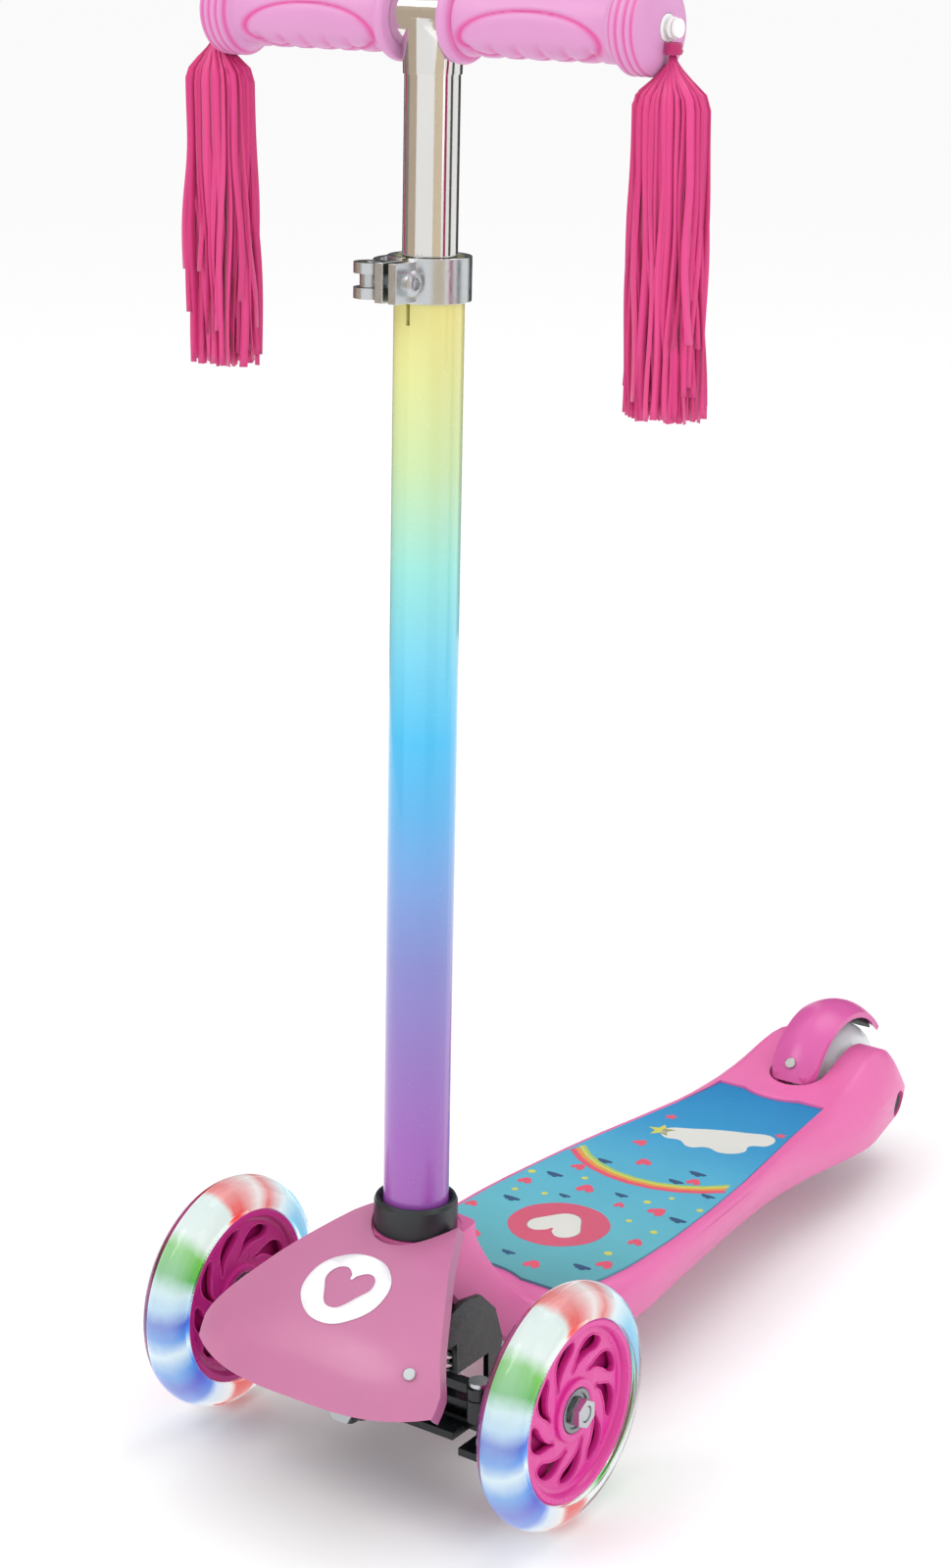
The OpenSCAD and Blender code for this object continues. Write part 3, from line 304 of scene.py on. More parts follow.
def tubeFade(tree, coords):  # yellow at the clamp through mint and sky blue to violet at the collar
    low, high = 0.13, 0.566
    split = tree.nodes.new("ShaderNodeSeparateXYZ")
    tree.links.new(coords, split.inputs[0])
    haze = noiseNode(tree, coords, 9.0, 2.0)
    z = mathNode(tree, "ADD", split.outputs["Z"], mathNode(tree, "MULTIPLY", haze, 0.006))
    t = mathNode(tree, "DIVIDE", mathNode(tree, "SUBTRACT", z, low), high - low, clamp=True)
    return ramp(tree, t, [(0.0, "9D54B0"), (0.09, "9859B4"), (0.19, "8A6BB8"), (0.29, "7A7CC0"),
                          (0.375, "6D95D3"), (0.46, "4FA8DF"), (0.545, "3AB7E7"), (0.63, "6BC9E5"),
                          (0.73, "91DBD1"), (0.84, "C2DCA4"), (0.93, "D8DC92"), (1.0, "E4DC88")])


def matFade(tree, coords):  # turquoise in front, deep sky blue at the tail
    low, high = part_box("grip_mat")
    split = tree.nodes.new("ShaderNodeSeparateXYZ")
    tree.links.new(coords, split.inputs[0])
    t = mathNode(tree, "DIVIDE", mathNode(tree, "SUBTRACT", split.outputs["Y"], low.y), high.y - low.y,
                 clamp=True)
    return ramp(tree, t, [(0.0, "569AA2"), (0.25, "5CACBC"), (0.55, "4CA2C2"), (0.75, "2C8CBE"),
                          (1.0, "127CB4")])


finishes = {
    "deck": surface("deckPink", "DC66A4", 0.36, bump=0.06, grain=1300.0, Coat_Weight=0.15,
                    Coat_Roughness=0.25),
    "cover": surface("coverPink", "BE7098", 0.34, bump=0.05, grain=1300.0, Coat_Weight=0.2,
                     Coat_Roughness=0.22),
    "fender": surface("fenderPink", "D0569E", 0.32, bump=0.05, grain=1300.0, Coat_Weight=0.2,
                      Coat_Roughness=0.2),
    "mat": surface("matRubber", matFade, 0.6, bump=0.35, grain=1700.0, scuffs=0.1, spread=0.06,
                   Specular_IOR_Level=0.25),
    "tube": surface("tubePaint", tubeFade, 0.24, drift=0.03, bump=0.03, grain=500.0, scuffs=0.12,
                    Coat_Weight=0.6, Coat_Roughness=0.06),
    "chrome": surface("chromePlate", "E2E1DE", 0.1, drift=0.04, spread=0.05, bump=0.02, grain=900.0,
                      scuffs=0.3, Metallic=1.0),
    "alloy": surface("pressedAlloy", "C9CDCF", 0.24, drift=0.08, spread=0.14, bump=0.08, grain=1100.0,
                     scuffs=0.5, Metallic=1.0),
    "zinc": surface("zincSteel", "BFC3C6", 0.3, drift=0.12, spread=0.16, bump=0.08, grain=1500.0,
                    scuffs=0.5, Metallic=1.0),
    "darkSteel": surface("springSteel", "8B9093", 0.28, drift=0.12, bump=0.05, grain=1800.0, Metallic=1.0),
    # near-black steel for the rear axle and its nut: painted shade for the dark axle holes
    "axleShade": surface("axleShadeSteel", "17181A", 0.36, drift=0.15, bump=0.08, grain=1500.0, Metallic=0.6),
    "nylon": surface("blackNylon", "12171A", 0.27, drift=0.2, spread=0.14, bump=0.12, grain=1100.0,
                     scuffs=0.4),
    "collar": surface("collarNylon", "22292C", 0.34, drift=0.2, bump=0.1, grain=1300.0),
    "hub": surface("hubPink", "D82C96", 0.3, drift=0.06, bump=0.04, grain=1500.0, Coat_Weight=0.25,
                   Coat_Roughness=0.15),
    # darker pink for the web deep inside the hub: painted shade
    "hubPaintedShade": surface("hubPaintedShadePink", "B41676", 0.36, drift=0.1, bump=0.04, grain=1500.0),
    "plug": surface("plugWhite", "F2F2F0", 0.4, drift=0.05, bump=0.04),
    "badge": surface("badgeWhite", "F4F2F6", 0.38, drift=0.02, bump=0.03, scuffs=0.1),
    "printCoral": surface("printCoral", "D84C68", 0.5, bump=0.3, grain=1700.0, scuffs=0.1),
    "printRose": surface("printRose", "C8506E", 0.5, bump=0.3, grain=1700.0, scuffs=0.1),
    "printNavy": surface("printNavy", "254E76", 0.5, bump=0.3, grain=1700.0, scuffs=0.1),
    "printYellow": surface("printYellow", "C4C454", 0.5, bump=0.3, grain=1700.0, scuffs=0.1),
    "printOrange": surface("printOrange", "DC8A38", 0.5, bump=0.3, grain=1700.0, scuffs=0.1),
    "printGreen": surface("printGreen", "98BC60", 0.5, bump=0.3, grain=1700.0, scuffs=0.1),
    "printWhite": surface("printWhite", "CFCFC9", 0.5, bump=0.3, grain=1700.0, scuffs=0.1),
    "dark": surface("darkRubber", "2B2F31", 0.5, drift=0.15, bump=0.1),
}


def gripRubber():
    # soft rubber, with the moulded grooves in a hotter pink from the piece's own attribute
    def color(tree, coords):
        groove = addNode(tree, "ShaderNodeAttribute", attribute_name="groove")
        return mixColor(tree, groove.outputs["Fac"], srgb("D490C2"), srgb("D8489A"))
    return surface("gripRubber", color, 0.42, drift=0.05, bump=0.14, grain=2400.0, scuffs=0.1,
                   Sheen_Weight=0.15)


def ribbonFilm():
    # glossy nylon ribbon with fine threads along it, each ribbon a slightly different pink and darker near
    # the tie in painted shade
    def color(tree, coords):
        toneAndShade = addNode(tree, "ShaderNodeAttribute", attribute_name="toneAndShade")
        return ramp(tree, toneAndShade.outputs["Fac"], [(0.0, "B41464"), (0.5, "D62A7A"), (1.0, "E23E88")])
    return surface("ribbonFilm", color, 0.34, drift=0.08, bump=0.3, grain=3200.0, scuffs=0.2,
                   Sheen_Weight=0.3, Anisotropic=0.5)


def clearTyre(name, milk, rough):
    # milk is the share that isn't clear
    return surface(name, "F2F8FA", rough, drift=0.02, spread=0.03, bump=0.03, grain=400.0, scuffs=0.12,
                   Transmission_Weight=1.0 - milk, IOR=1.42, Specular_IOR_Level=0.6)


def tyreGlow(axle, foot, deep):
    # lamps inside the tyre: the lamps' colours turn with the angle round the axle; the white stops between
    # them and the paling towards the tread, from radius foot over the depth deep, are painted highlights
    material = bpy.data.materials.new("tyreGlow")
    material.use_nodes = True
    tree = material.node_tree
    shader = tree.nodes["Principled BSDF"]
    coords = tree.nodes.new("ShaderNodeTexCoord").outputs["Object"]
    split = tree.nodes.new("ShaderNodeSeparateXYZ")
    tree.links.new(coords, split.inputs[0])
    ahead = mathNode(tree, "SUBTRACT", axle.y, split.outputs["Y"])
    above = mathNode(tree, "SUBTRACT", split.outputs["Z"], axle.z)
    angle = mathNode(tree, "ARCTAN2", ahead, above)
    turn = mathNode(tree, "FRACT", mathNode(tree, "ADD", mathNode(tree, "DIVIDE", angle, math.tau), 1.0))
    mist = noiseNode(tree, coords, 90.0, 3.0)
    mist = mathNode(tree, "MULTIPLY", mathNode(tree, "SUBTRACT", mist, 0.5), 0.02)
    turn = mathNode(tree, "ADD", turn, mist)
    # the coloured stops are the lamps' own colours; the white stops between them are painted highlights
    glow = ramp(tree, turn, [
        (0.0, "F01808"), (0.022, "F83820"), (0.035, "E8F4EC"), (0.10, "EEF8F0"), (0.125, "6CC830"),
        (0.165, "58B848"), (0.19, "D8F0F4"), (0.215, "B8D8F4"), (0.24, "2C50D0"), (0.265, "3C8CE8"),
        (0.29, "E4F4FC"), (0.325, "3C90E8"), (0.36, "3434D0"), (0.40, "3C74E4"), (0.42, "E0ECFC"),
        (0.46, "FFF4F0"), (0.475, "F03010"), (0.515, "F02008"), (0.53, "F8F4EC"), (0.58, "F8FCF0"),
        (0.60, "38C814"), (0.68, "50D428"), (0.71, "A8E8D0"), (0.76, "48B8E8"), (0.84, "70CCF0"),
        (0.89, "E8F8FC"), (0.93, "F05048"), (0.955, "F8E8E4"), (1.0, "F01808")])
    reach = mathNode(tree, "SQRT", mathNode(tree, "ADD", mathNode(tree, "MULTIPLY", ahead, ahead),
                                           mathNode(tree, "MULTIPLY", above, above)))
    # painted highlight: the lamp colour pales towards the tread, with a little noise
    paintedHighlightShare = mathNode(tree, "DIVIDE", mathNode(tree, "SUBTRACT", reach, foot), deep, clamp=True)
    pulse = noiseNode(tree, coords, 150.0, 3.0)
    paintedHighlightShare = mathNode(tree, "ADD", mathNode(tree, "MULTIPLY", paintedHighlightShare, 0.22),
                    mathNode(tree, "MULTIPLY", pulse, 0.08))
    tint = mixColor(tree, paintedHighlightShare, glow, srgb("E4F2F4"))
    tree.links.new(tint, shader.inputs["Emission Color"])
    shader.inputs["Base Color"].default_value = srgb("2A3236")
    shader.inputs["Emission Strength"].default_value = 0.95
    shader.inputs["Roughness"].default_value = 0.4
    return material


finishes["grip"] = gripRubber()
finishes["ribbon"] = ribbonFilm()
finishes["tyre"] = clearTyre("clearTyre", milk=0.0, rough=0.05)
finishes["rearTyre"] = clearTyre("milkyTyre", milk=0.55, rough=0.18)
finishes["glow"] = tyreGlow(middle("tyre_left"), foot=0.0452, deep=0.0085)
print("finishes ready:", len(finishes))


# --- CAD nodes that stay as they are get their finish ---

plainNodes = {
    "zinc": ["housing_screws", "pivot_bolt", "pivot_nut", "drive_pin", "kingpins", "tie_pin_left",
             "tie_pin_right", "spacer_left", "spacer_right", "rear_spacers", "brake_pin", "tube_screw",
             "clamp_pin"],
    "dark": ["tube_bush", "tube_foot", "brake_pad"],
    "tube": ["lower_tube"],
    "chrome": ["upper_tube", "cross_tube"],
    "mat": ["grip_mat"],
}
for finish, names in plainNodes.items():
    for name in names:
        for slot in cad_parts[name].material_slots:
            slot.material = finishes[finish]


# --- deck, cover, fender and mechanism: broken edges ---

softEdges = {  # node: (finish, body, bevel width)
    "deck": ("deck", "deck", 0.0012),
    "front_cover": ("cover", "deck", 0.0009),
    "brake_fender": ("fender", "brake", 0.0008),
    "collar": ("collar", "deck", 0.0006),
    "steering_housing": ("nylon", "deck", 0.0008),
    "axle_beam": ("nylon", "beam", 0.0008),
    "knuckle_left": ("nylon", "knuckle_left", 0.0007),
    "knuckle_right": ("nylon", "knuckle_right", 0.0007),
    "tie_rod": ("nylon", "tie_rod", 0.0005),
    "clamp_band": ("alloy", "deck", 0.0005),
    "clamp_lever": ("alloy", "clamp_lever", 0.0006),
    "tee_lug": ("chrome", "handlebar", 0.0005),
    "cover_screw": ("zinc", "deck", 0.0004),
    "brake_screw": ("zinc", "brake", 0.0004),
    # the rear axle and its nut sit in the deck's side holes and are made near-black, painted shade
    "rear_axle": ("axleShade", "deck", 0.0006),
    "rear_axle_nut": ("axleShade", "deck", 0.0006),
    "axle_nut_left": ("zinc", "knuckle_left", 0.0006),
    "axle_nut_right": ("zinc", "knuckle_right", 0.0006),
    "front_axle_left": ("zinc", "knuckle_left", 0.0006),
    "front_axle_right": ("zinc", "knuckle_right", 0.0006),
    "clamp_bolt": ("zinc", "deck", 0.0005),
}
for node, (finish, body, width) in softEdges.items():
    softCopy(node, node + "_soft", finishes[finish], body, width)
print("softened nodes:", len(softEdges))


# --- wheels ---

wheel = {
    "windows": 9, "rearWindows": 7, "boss": 0.0155, "rimDepth": 0.0062, "bore": 0.01105,
    "plate": 0.0022, "plateX": 0.0052, "soften": 0.0007, "bead": 0.00055, "beadX": 0.0017,
    "tyreDepth": 0.0148, "groove": 0.00035, "glowFoot": 0.0146, "glowDepth": 0.0085, "glowWidth": 0.0135,
}
bearingSizes = {"inner": 0.0021, "outer": 0.009, "race": 0.0022, "ring": 0.0063, "bore": 0.00405}


def radiusOf(node):
    low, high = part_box(node)
    return (high.z - low.z) / 2


def halfWidthOf(node):
    low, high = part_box(node)
    return (high.x - low.x) / 2


def polar(r, degrees):  # in the wheel's plane: 0 is down, positive turns to the rear
    a = math.radians(degrees)
    return r * math.cos(a), r * math.sin(a)


def windowOutlines(inner, outer, count):
    # teardrops: a round head near the rim and a tail that curls in to the boss
    deep = outer - inner
    spread = 360 / count
    shape = [(1.0, -0.3), (0.93, -0.5), (0.7, -0.48), (0.45, -0.18), (0.2, 0.24), (0.0, 0.58),
             (0.06, 0.64), (0.22, 0.5), (0.45, 0.38), (0.7, 0.24), (0.93, 0.0)]
    return [([polar(inner + deep * depth, spread * (i + share)) for depth, share in shape], "AUTO")
            for i in range(count)]


def circle(r):
    return [polar(r, 30 * i) for i in range(12)], "AUTO"


def wheelPlane(centre, x):
    # the plane's x axis points down and its y axis to the rear; its normal is the wheel's axis
    turn = Matrix(((0, 0, 1), (0, 1, 0), (-1, 0, 0))).to_4x4()
    return Matrix.Translation(centre + Vector((x, 0, 0))) @ turn


def rimProfile(halfW, rim, web):
    # two lips with the tyre's seat between them, and a step down to the web on each side
    side = [(halfW - 0.0026, rim - 0.0019), (halfW - 0.0022, rim), (halfW - 0.0009, rim),
            (halfW, rim - 0.0010), (halfW, rim - 0.0034), (halfW - 0.0012, rim - 0.0046),
            (halfW - 0.0032, rim - 0.0052), (0.0068, web - 0.0010)]
    return side + [(-x, r) for x, r in reversed(side)]


def addHub(side, node, body, count):
    centre = middle(node)
    rim = radiusOf(node)
    boss = wheel["boss"]
    web = rim - wheel["rimDepth"]
    bm = bmesh.new()
    here = Matrix.Translation(centre)
    spinProfile(bm, rimProfile(halfWidthOf(node), rim, web), 96, here)
    spinProfile(bm, roundedRing(-0.009, 0.009, boss, wheel["bore"], 0.0012), 64, here)
    spinProfile(bm, roundedRing(-0.0062, 0.0062, boss + 0.0032, boss - 0.0008, 0.0009), 64, here)
    hub = pieceFrom(bm, "hub_" + side + "_rim")
    finishPiece(hub, finishes["hub"], body, (node,), 40)
    outlines = [circle(web + 0.0004), circle(boss - 0.0004)]
    holes = windowOutlines(boss + 0.0034, web - 0.0022, count)
    for face, end in ((-1, "in"), (1, "out")):
        bm = flatShape("plate", outlines + holes, wheel["plate"], wheelPlane(centre, face * wheel["plateX"]),
                       wheel["soften"], 6)
        plate = pieceFrom(bm, "hub_%s_plate_%s" % (side, end))
        finishPiece(plate, finishes["hub"], body, (), 40)
        bm = bmesh.new()
        for window in holes:
            addLip(bm, window, wheelPlane(centre, face * (wheel["plateX"] + wheel["beadX"])))
        lips = pieceFrom(bm, "hub_%s_lips_%s" % (side, end))
        finishPiece(lips, finishes["hub"], body, (), 60)
    # the web seen through the windows takes the darker pink, painted shade inside the hub
    bm = bmesh.new()
    spinProfile(bm, roundedRing(-0.0014, 0.0014, web + 0.0002, boss - 0.0006, 0.0003), 96, here)
    back = pieceFrom(bm, "hub_%s_web" % side)
    finishPiece(back, finishes["hubPaintedShade"], body, (), 40)


def addLip(bm, outline, place):
    # a round bead that follows a window's edge
    mesh = meshOfOutlines("lip", [outline], dimensions="3D", bevel_depth=wheel["bead"],
                          bevel_resolution=2, resolution_u=5)
    mesh.transform(place)
    bm.from_mesh(mesh)
    bpy.data.meshes.remove(mesh)


def tyreProfile(r, halfW, depth):
    # a full round tread on straight walls, with a shallow groove on each shoulder
    foot = r - depth
    bend = r - halfW
    points = [(-halfW + 0.0008, foot), (-halfW, foot + 0.0008)]
    for i in range(19):
        a = math.pi * i / 18
        dip = wheel["groove"] if i in (4, 14) else 0.0
        points.append((-math.cos(a) * (halfW - dip), bend + math.sin(a) * (halfW - dip)))
    return points + [(halfW, foot + 0.0008), (halfW - 0.0008, foot)]


def addTyre(side, node, body, finish, glowNode=None):
    here = Matrix.Translation(middle(node))
    r = radiusOf(node)
    bm = bmesh.new()
    spinProfile(bm, tyreProfile(r, halfWidthOf(node), wheel["tyreDepth"]), 144, here)
    tyre = pieceFrom(bm, "tyre_" + side + "_clear")
    finishPiece(tyre, finishes[finish], body, (node,), 60)
    if glowNode:
        foot = r - wheel["glowFoot"]
        half = wheel["glowWidth"] / 2
        top = foot + wheel["glowDepth"]
        core = [(-half, foot), (-half, top - 0.004), (-half + 0.0014, top - 0.0014), (-half + 0.0042, top),
                (half - 0.0042, top), (half - 0.0014, top - 0.0014), (half, top - 0.004), (half, foot)]
        bm = bmesh.new()
        spinProfile(bm, core, 144, here)
        glow = pieceFrom(bm, "glow_" + side)
        finishPiece(glow, finishes["glow"], body, (glowNode,), 50)


def addBearing(side, node, body):
    # two ball bearings: outer race, shield and inner race each
    here = Matrix.Translation(middle(node))
    r = radiusOf(node)
    b = bearingSizes
    bm = bmesh.new()
    for x0, x1 in ((-b["outer"], -b["inner"]), (b["inner"], b["outer"])):
        spinProfile(bm, roundedRing(x0, x1, r, r - b["race"], 0.0004), 48, here)
        spinProfile(bm, roundedRing(x0 + 0.0008, x1 - 0.0008, r - 0.0021, 0.0062, 0.0003), 48, here)
        spinProfile(bm, roundedRing(x0, x1, b["ring"], b["bore"], 0.0004), 48, here)
    bearing = pieceFrom(bm, "bearing_" + side)
    finishPiece(bearing, finishes["darkSteel"], body, (node,), 40)


for side in ("left", "right"):
    addHub(side, "hub_" + side, "wheel_" + side, wheel["windows"])
    addTyre(side, "tyre_" + side, "wheel_" + side, "tyre", "light_ring_" + side)
    addBearing(side, "bearings_" + side, "wheel_" + side)
addHub("rear", "rear_hub", "wheel_rear", wheel["rearWindows"])
addTyre("rear", "rear_tyre", "wheel_rear", "rearTyre")
addBearing("rear", "rear_bearings", "wheel_rear")
print("wheels ready")


# --- springs ---

springs = {"returnWire": 0.0011, "returnTurns": 5, "brakeWire": 0.0008, "brakeTurns": 4, "steps": 20}


def helix(bm, radius, wire, height, turns, matrix):
    steps = springs["steps"]
    ring = bmesh.ops.create_circle(bm, segments=10, radius=wire)["verts"]
    stand = Matrix.Translation((radius, 0, wire)) @ Matrix.Rotation(math.pi / 2, 4, "X")
    bmesh.ops.transform(bm, matrix=stand, verts=ring)
    edges = [e for e in bm.edges if all(v in ring for v in e.verts)]
    rise = (height - 2 * wire) / (steps * turns)
    bmesh.ops.spin(bm, geom=ring + edges, cent=(0, 0, 0), axis=(0, 0, 1), dvec=(0, 0, rise),
                   angle=math.tau * turns, steps=steps * turns, use_merge=False)
    bmesh.ops.holes_fill(bm, edges=[e for e in bm.edges if e.is_boundary], sides=12)
    bmesh.ops.transform(bm, matrix=matrix, verts=[v for v in bm.verts if not v.tag])
    for v in bm.verts:
        v.tag = True


def addSprings():
    low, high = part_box("return_springs")
    outer = (high.y - low.y) / 2
    wire = springs["returnWire"]
    bm = bmesh.new()
    for x in (low.x + outer, high.x - outer):
        helix(bm, outer - wire, wire, high.z - low.z, springs["returnTurns"],
              Matrix.Translation((x, (low.y + high.y) / 2, low.z)))
    bmesh.ops.recalc_face_normals(bm, faces=bm.faces)
    finishPiece(pieceFrom(bm, "return_springs_wire"), finishes["darkSteel"], "deck", ("return_springs",),
                60)
    low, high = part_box("brake_spring")
    wire = springs["brakeWire"]
    bm = bmesh.new()
    turn = Matrix.Rotation(math.pi / 2, 4, "Y")
    helix(bm, (high.z - low.z) / 2 - wire, wire, high.x - low.x, springs["brakeTurns"],
          Matrix.Translation((low.x, (low.y + high.y) / 2, (low.z + high.z) / 2)) @ turn)
    bmesh.ops.recalc_face_normals(bm, faces=bm.faces)
    finishPiece(pieceFrom(bm, "brake_spring_wire"), finishes["darkSteel"], "deck", ("brake_spring",),
                60)


addSprings()


# --- badge on the cover, print on the mat ---

def heart(x, y, size, turn=0.0):
    # lobes up at turn 0
    shape = [(0, -0.5), (0.38, -0.12), (0.5, 0.2), (0.3, 0.45), (0.06, 0.32), (0, 0.2), (-0.06, 0.32),
             (-0.3, 0.45), (-0.5, 0.2), (-0.38, -0.12)]
    c, s = math.cos(turn), math.sin(turn)
    return [(x + size * (c * u - s * v), y + size * (s * u + c * v)) for u, v in shape], "AUTO"


def cloud(x, y, size, turn=0.0):
    shape = [(-0.5, -0.14), (-0.46, 0.06), (-0.3, 0.1), (-0.26, 0.24), (-0.06, 0.3), (0.08, 0.2),
             (0.24, 0.22), (0.34, 0.08), (0.48, 0.04), (0.5, -0.14), (0.25, -0.2), (-0.25, -0.2)]
    c, s = math.cos(turn), math.sin(turn)
    return [(x + size * (c * u - s * v), y + size * (s * u + c * v)) for u, v in shape], "AUTO"


def star(x, y, size, turn=0.0):
    points = []
    for i in range(10):
        r = size / 2 if i % 2 == 0 else size * 0.22
        a = turn + math.pi * i / 5 + math.pi / 2
        points.append((x + r * math.cos(a), y + r * math.sin(a)))
    return points, "VECTOR"


def disc(x, y, r):
    turns = [math.tau * i / 8 for i in range(8)]
    return [(x + r * math.cos(a), y + r * math.sin(a)) for a in turns], "AUTO"


def arcBand(x, y, rOut, rIn, start, end):
    points = []
    steps = 9
    for r, order in ((rOut, range(steps)), (rIn, reversed(range(steps)))):
        for i in order:
            a = math.radians(start + (end - start) * i / (steps - 1))
            points.append((x + r * math.sin(a), y - r * math.cos(a)))
    return points, "VECTOR"


badge = {"radius": 0.0222, "y": -0.2378, "above": 0.128, "slope": -24, "thick": 0.0003, "lift": 0.0002,
         "heart": 0.0262, "heartY": -0.0008}


def addBadge():
    # the disc is cut fine and dropped on the cover from above
    shape = flatShape("badgeDisc", [disc(0, 0, badge["radius"]), heart(0, badge["heartY"], badge["heart"])],
                      0.0, Matrix.Identity(4), 0.0, 12)
    bmesh.ops.triangulate(shape, faces=shape.faces)
    for _ in range(2):
        bmesh.ops.subdivide_edges(shape, edges=shape.edges, cuts=1, use_grid_fill=True)
    obj = pieceFrom(shape, "cover_badge")
    obj.data.transform(Matrix.Translation((0, badge["y"], badge["above"]))
                       @ Matrix.Rotation(math.radians(badge["slope"]), 4, "X"))
    wrap = obj.modifiers.new("onCover", "SHRINKWRAP")
    wrap.target = bpy.data.objects["front_cover_soft"]
    wrap.wrap_method = "PROJECT"
    wrap.use_project_z = True
    wrap.use_negative_direction = True
    wrap.use_positive_direction = False
    wrap.offset = badge["lift"]
    bpy.context.view_layer.update()
    flat = bpy.data.meshes.new_from_object(obj.evaluated_get(bpy.context.evaluated_depsgraph_get()))
    obj.modifiers.clear()
    obj.data = flat
    thick = obj.modifiers.new("film", "SOLIDIFY")
    thick.thickness = badge["thick"]
    thick.offset = 1.0
    finishPiece(obj, finishes["badge"], "deck", (), 50)


matThick = 0.0018
printThick = 0.00012
matLow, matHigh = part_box("grip_mat")
matSlope = math.asin((matHigh.z - matLow.z - matThick) / (matHigh.y - matLow.y))
onMat = (Matrix.Translation((0, matLow.y, matHigh.z)) @ Matrix.Rotation(-matSlope, 4, "X")
         @ Matrix.Translation((0, -matLow.y, 0.00002)))


def addPrint(name, shapes, finish):
    bm = flatShape(name, shapes, printThick, onMat)
    finishPiece(pieceFrom(bm, name), finishes[finish], "deck", (), 30)


def mm(*values):
    return [v / 1000 for v in values]


def addMatPrint():
    bow = mm(-1.5, 79.5)
    addPrint("mat_rainbow_red", [arcBand(*bow, 0.0696, 0.0664, -45, 47)], "printCoral")
    addPrint("mat_rainbow_orange", [arcBand(*bow, 0.0662, 0.0638, -46, 48.5)], "printOrange")
    addPrint("mat_rainbow_yellow", [arcBand(*bow, 0.0636, 0.0614, -48, 50.5)], "printYellow")
    addPrint("mat_rainbow_green", [arcBand(*bow, 0.0612, 0.0598, -49, 52)], "printGreen")
    hearts = [(-14, -9, 10, 0.2), (33, -11, 10, -0.3), (-46, -20, 8, 0.1), (-30, -92, 9, 0.4),
              (44, -50, 8, 0.2), (-33, 13, 8, -0.2), (28, 34, 8, 0.1), (-8, 40, 9, 0.5), (46, -82, 9, -0.1),
              (12, -16, 6, 0.3), (-52, -62, 7, 0.2), (-24, 62, 8, -0.3), (16, -104, 9, 0.1)]
    addPrint("mat_hearts", [heart(*mm(x, y, size), turn + math.pi) for x, y, size, turn in hearts],
             "printCoral")
    clouds = [(-38, -4, 10), (6, -5, 8), (-39, -44, 10), (47, -14, 10), (38, -92, 10), (-46, -82, 9),
              (20, 28, 9), (-26, 28, 9), (44, 22, 8), (24, 44, 10), (-2, -100, 8), (-18, -24, 7)]
    addPrint("mat_clouds", [cloud(*mm(x, y, size), math.pi) for x, y, size in clouds], "printNavy")
    dots = [(-50, -8, 2.2), (-44, -33, 1.8), (22, -4, 2.0), (-28, -28, 1.8), (45, -34, 2.0), (40, -70, 2.2),
            (-22, -104, 2.0), (-40, -98, 1.8), (27, -30, 1.7), (-22, 2, 1.8), (50, 4, 1.8), (30, 8, 1.5)]
    addPrint("mat_dots", [disc(*mm(x, y, r)) for x, y, r in dots], "printYellow")
    addPrint("mat_badge", [disc(*mm(0, -56, 27)), heart(*mm(0, -56, 30), math.pi)], "printRose")
    addPrint("mat_badge_heart", [heart(*mm(0, -56, 29.4), math.pi)], "printWhite")
    addPrint("mat_big_cloud", [cloud(*mm(8, 92, 62), math.pi + 0.45)], "printWhite")
    addPrint("mat_star", [star(*mm(-24, 84, 17), 0.3)], "printYellow")
    addPrint("mat_small_star", [star(*mm(-30, 104, 9), 0.1), star(*mm(34, 118, 8), 0.5)], "printCoral")


addBadge()
addMatPrint()
print("badge and print ready")


# --- grips ---

gripShape = {
    "barrel": 0.016, "flange": 0.0195, "endFlange": 0.0205, "padHalf": 0.036, "padTurn": 0.85,
    "padTilt": 0.5, "padSwell": 0.0005, "grooveDepth": 0.0009, "ringDepth": 0.0006, "scallop": 0.0011,
    "pitch": 0.0125, "bore": 0.01105, "rings": (0.0172, 0.0132, 0.0092, 0.0056),
}


def gripRadius(x, x0, x1):
    # the turned shape: inner flange, barrel, ribbed swell and domed end
    g = gripShape
    r = g["barrel"]
    d = x - x0
    if d < 0.0062:
        r += (g["flange"] - g["barrel"]) * math.sqrt(max(0.0, 1 - ((d - 0.0026) / 0.0036) ** 2))
    e = x1 - x
    if e < 0.022:
        r += (g["endFlange"] - g["barrel"]) * ease((0.022 - e) / 0.007)
    if e < 0.0055:
        r -= 0.0125 * (1 - math.sqrt(max(0.0, 1 - ((0.0055 - e) / 0.0055) ** 2)))
    return r


def ringGroove(x, x1):
    near = 0.0
    for place in gripShape["rings"]:
        near = max(near, math.exp(-(((x1 - x) - place) / 0.00075) ** 2))
    return near


def padGroove(x, turn, centreX):
    # an oval line on the front and one on the back of the barrel
    g = gripShape
    best = 9.0
    for facing in (math.pi + g["padTilt"], -g["padTilt"]):
        away = (turn - facing + math.pi) % math.tau - math.pi
        best = min(best, math.hypot((x - centreX) / g["padHalf"], away / g["padTurn"]))
    return math.exp(-((best - 1) / 0.055) ** 2), best


